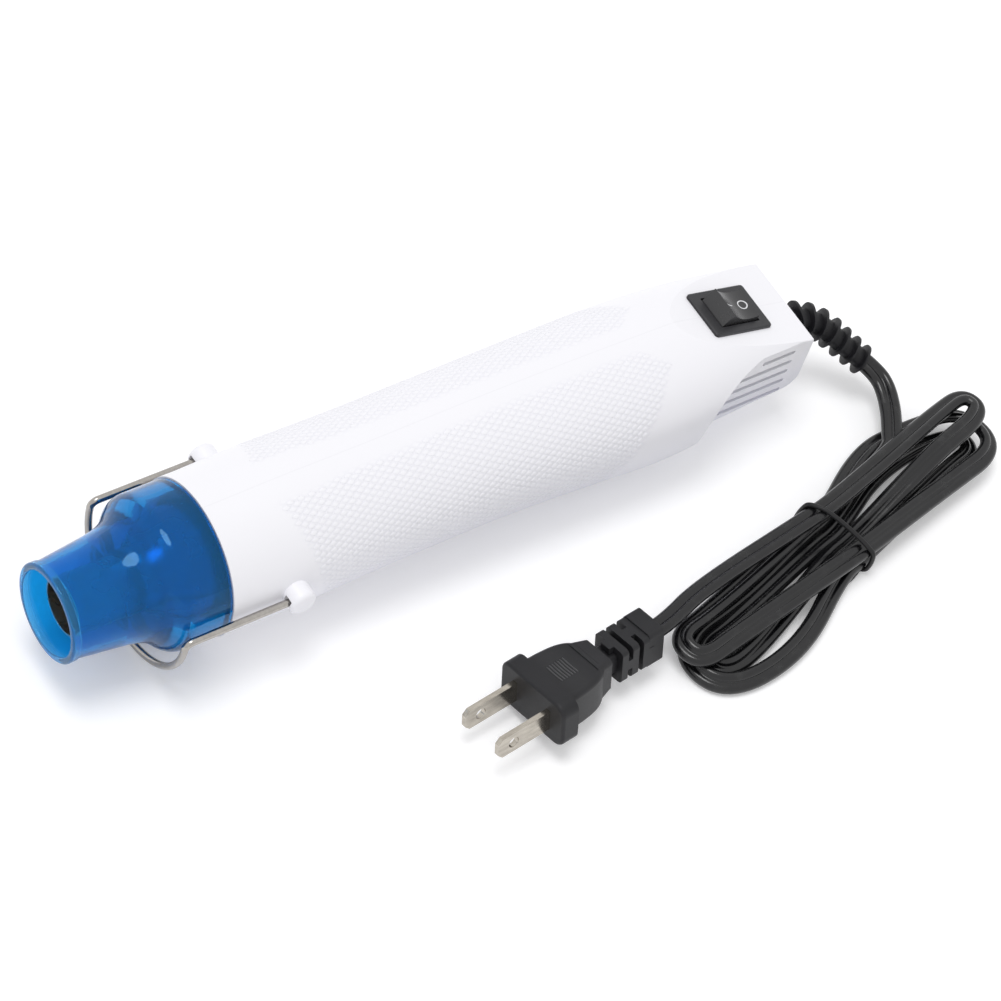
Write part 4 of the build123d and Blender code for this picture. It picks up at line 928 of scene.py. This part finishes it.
BEZEL = {"Specular_IOR_Level": 0.42}
RUBBER = {"Specular_IOR_Level": 0.26}
TIE = {"Specular_IOR_Level": 0.3}
moulded("bezel_black", (0.016, 0.016, 0.018), (0.026, 0.026, 0.03), 0.42, 5200, 1.4e-5, "switch_body", **BEZEL)
moulded("rocker_gloss", (0.028, 0.028, 0.030), (0.042, 0.042, 0.044), 0.26, 1400, 1e-6, "switch_rocker", play=0.05)
moulded("mark_paint", (0.80, 0.80, 0.82), (0.70, 0.70, 0.73), 0.55, 4000, 6e-6, ring, dash)
moulded("relief_rubber", (0.007, 0.007, 0.009), (0.013, 0.013, 0.015), 0.46, 3800, 1.8e-5, boot, **RUBBER)
moulded("tie_black", (0.006, 0.006, 0.007), (0.016, 0.016, 0.017), 0.42, 2400, 3e-5, tie, tie_tail, **TIE)
moulded("fan_nylon", (0.025, 0.025, 0.028), (0.05, 0.05, 0.055), 0.45, 3400, 1.2e-5, "fan_impeller")
moulded("bracket_resin", (0.42, 0.36, 0.27), (0.34, 0.28, 0.20), 0.55, 3000, 1.5e-5, "motor_bracket")
moulded("end_cap_nylon", (0.62, 0.61, 0.56), (0.54, 0.53, 0.48), 0.45, 3000, 1.0e-5, "motor_end_cap")
moulded("cutout_case", (0.10, 0.09, 0.08), (0.17, 0.15, 0.13), 0.40, 2600, 1.0e-5, "thermal_cutout")
# Painted highlight: the ribs are painted lighter than the plug, for the light their edges catch.
moulded("rib_vinyl_painted_highlight", (0.045, 0.045, 0.048), (0.07, 0.07, 0.074), 0.38, 3200, 8e-6, plug_ribs)
print("plastics: ten finishes")

# %% [markdown]
# ## Plug and lead
# The plug is moulded vinyl. Over a band round its ribs it is painted a little lighter, a painted sheen,
# and made a little glossier: a mask in the plug's own turned frame, which a Mapping node gives. The
# lead's vinyl is smoother and catches the light along its ridges, with a little dust on it and slight
# unevenness from folding.

# %% Plug finish
plug, shader, spot = finish_of("plug_vinyl", Specular_IOR_Level=0.3)
own = spot.placed(location=tuple(plug_face), rotation=(plug_roll, plug_pitch, plug_yaw), kind="TEXTURE")
back_run = own.parts()[0] * 1000
# Painted sheen: a band round the ribs is painted a little lighter, and it is also a little glossier.
ribbed_band_sheen = back_run.step(5.0, 9.0) * (1 - back_run.step(11.0, 16.0))
grain = spot.noise(4200.0, 4.0, 0.6)
slow = spot.noise(110.0, 2.0)
shade = slow.mix((0.010, 0.010, 0.012), (0.018, 0.018, 0.020))
(ribbed_band_sheen * 0.25).mix(shade, (0.03, 0.03, 0.032)).to(shader.inputs["Base Color"])
((grain - 0.5) * 0.15 + 0.46 - ribbed_band_sheen * 0.06 + (slow - 0.5) * 0.1).to(shader.inputs["Roughness"])
bumped(grain, shader, 0.000014)
wear(plug, "plug_body")
print("plug: vinyl, a little polished where it is held")

# %% Lead finish
lead, shader, spot = finish_of("lead_vinyl", Specular_IOR_Level=0.5)
grain = spot.noise(2600.0, 4.0, 0.55)
dust = spot.noise(210.0, 5.0, 0.65).step(0.5, 0.72)
shade = spot.noise(70.0, 2.0).mix((0.003, 0.003, 0.004), (0.007, 0.007, 0.008))
(dust * 0.12).mix(shade, (0.085, 0.085, 0.085)).to(shader.inputs["Base Color"])
(dust * 0.14 + 0.20 + (grain - 0.5) * 0.08).to(shader.inputs["Roughness"])
bumped(grain * 0.4 + spot.noise(160.0, 2.0) * 2.0, shader, 0.00002)
wear(lead, cord)
print("lead: black vinyl")

# %% [markdown]
# ## Inside the shell
# Nothing here shows until the shell is taken off, yet each piece has its real look: mica splits into
# silvery flakes, the board is brown paper resin with tinned tracks, heater leads wear a glass braid,
# and small parts carry their bands and stripes. Each pattern is a few masks over the piece's place.

# %% Mica and braid
mica, shader, spot = finish_of("mica_sheet", Specular_IOR_Level=0.6)
flakes = spot.placed(scale=(1.0, 1.0, 0.5)).cells(420.0)
layers = spot.noise(260.0, 5.0, 0.65)
shade = layers.mix((0.46, 0.40, 0.29), (0.70, 0.66, 0.55))
(flakes.step(0.1, 0.6) * 0.4).mix(shade, (0.78, 0.75, 0.66)).to(shader.inputs["Base Color"])
(layers * 0.25 + 0.25).to(shader.inputs["Roughness"])
bumped(flakes * 0.6 + layers * 0.4, shader, 0.00003)
wear(mica, "mica_liner", "mica_card")

braid, shader, spot = finish_of("glass_braid", Roughness=0.7)
x, y, z = spot.in_mm()
over_weave = (x + y + z).lines(0.55).step(0.1, 0.8)
under_weave = (x - y - z).lines(0.55).step(0.1, 0.8)
weave = over_weave.math("MAXIMUM", under_weave)
weave.mix((0.50, 0.46, 0.36), (0.80, 0.77, 0.68)).to(shader.inputs["Base Color"])
bumped(weave, shader, 0.00008)
wear(braid, "heater_leads")
print("mica and glass braid")

# %% Board, capacitor and diodes
CAN_MIDDLE = (53.8, 8.3)
board, shader, spot = finish_of("paper_board", Specular_IOR_Level=0.4)
height = spot.parts()[2] * 1000
bricks = spot.node(
    "ShaderNodeTexBrick",
    {"offset": 0.5},
    {
        "Vector": spot.placed(location=(0.0011, 0.0007, 0.0)),
        "Scale": 130.0,
        "Mortar Size": 0.012,
        "Mortar Smooth": 0.3,
        "Brick Width": 0.55,
        "Row Height": 0.30,
    },
    output=1,
)
under_side = 1 - height.step(14.2, 14.9)
tracks = bricks * under_side
paper = spot.noise(1500.0, 4.0, 0.65).mix((0.33, 0.20, 0.09), (0.46, 0.30, 0.15))
tracks.mix(paper, (0.62, 0.62, 0.60)).to(shader.inputs["Base Color"])
(tracks * 0.9).to(shader.inputs["Metallic"])
(0.55 - tracks * 0.25).to(shader.inputs["Roughness"])
bumped(tracks * 0.7 + spot.noise(3000.0) * 0.2, shader, 0.00004)
wear(board, "circuit_board")

sleeve, shader, spot = finish_of("capacitor_sleeve", Coat_Weight=0.3)
x, y, z = spot.in_mm()
from_x, from_y = x - CAN_MIDDLE[0], y - CAN_MIDDLE[1]
turn = from_y.math("ARCTAN2", from_x)
stripe = 1 - (turn + 2.2).math("ABSOLUTE").step(0.28, 0.32)
can_top = z.step(23.0, 23.2)
film = spot.noise(300.0).mix((0.02, 0.03, 0.09), (0.03, 0.05, 0.13))
film = (stripe * 0.9).mix(film, (0.66, 0.67, 0.70))
can_top.mix(film, (0.72, 0.72, 0.73)).to(shader.inputs["Base Color"])
can_top.to(shader.inputs["Metallic"])
(0.30 + spot.noise(900.0) * 0.15).to(shader.inputs["Roughness"])
score = 1 - from_x.math("ABSOLUTE").math("MINIMUM", from_y.math("ABSOLUTE")).step(0.1, 0.3)
bumped(1 - score * can_top, shader, 0.0002)
wear(sleeve, "capacitor")

epoxy, shader, spot = finish_of("diode_epoxy", Specular_IOR_Level=0.5)
x = spot.parts()[0] * 1000
band = x.step(59.7, 59.8) * (1 - x.step(60.5, 60.6))
speck = spot.noise(2400.0, 3.0)
speck_shade = speck.mix((0.015, 0.015, 0.016), (0.03, 0.03, 0.032))
(band * 0.95).mix(speck_shade, (0.70, 0.70, 0.71)).to(shader.inputs["Base Color"])
(speck * 0.2 + 0.32).to(shader.inputs["Roughness"])
bumped(speck, shader, 0.00001)
wear(epoxy, "rectifier_diodes")
print("board, capacitor and diodes")


# %% Insulated wires
def vinyl(name, left, right, node):
    """Sleeves in two colours, one each side of the middle plane, with fine streaks and gloss; worn by a node."""
    material, shader, spot = finish_of(name, Specular_IOR_Level=0.5)
    streaks = spot.placed(scale=(300, 2400, 2400)).noise(1.0, 3.0)
    shade = (spot.parts()[1] * 1000).step(-0.05, 0.05).mix(left, right)
    (streaks * 0.22).mix(shade, (0.30, 0.28, 0.27)).to(shader.inputs["Base Color"])
    (streaks * 0.2 + 0.28).to(shader.inputs["Roughness"])
    bumped(streaks, shader, 0.000015)
    wear(material, node)


BLACK_SLEEVE = (0.02, 0.02, 0.022)
vinyl("motor_wires", (0.50, 0.02, 0.02), BLACK_SLEEVE, "motor_leads")
vinyl("mains_wires", (0.55, 0.54, 0.50), BLACK_SLEEVE, "mains_leads")
vinyl("switch_wire", BLACK_SLEEVE, BLACK_SLEEVE, "switch_lead")
worn = {name: piece.data.materials for name, piece in nodes.items()}
bare = [name for name, slots in worn.items() if not slots or not slots[0].use_nodes]
print("wires done; nodes without a finish:", bare)
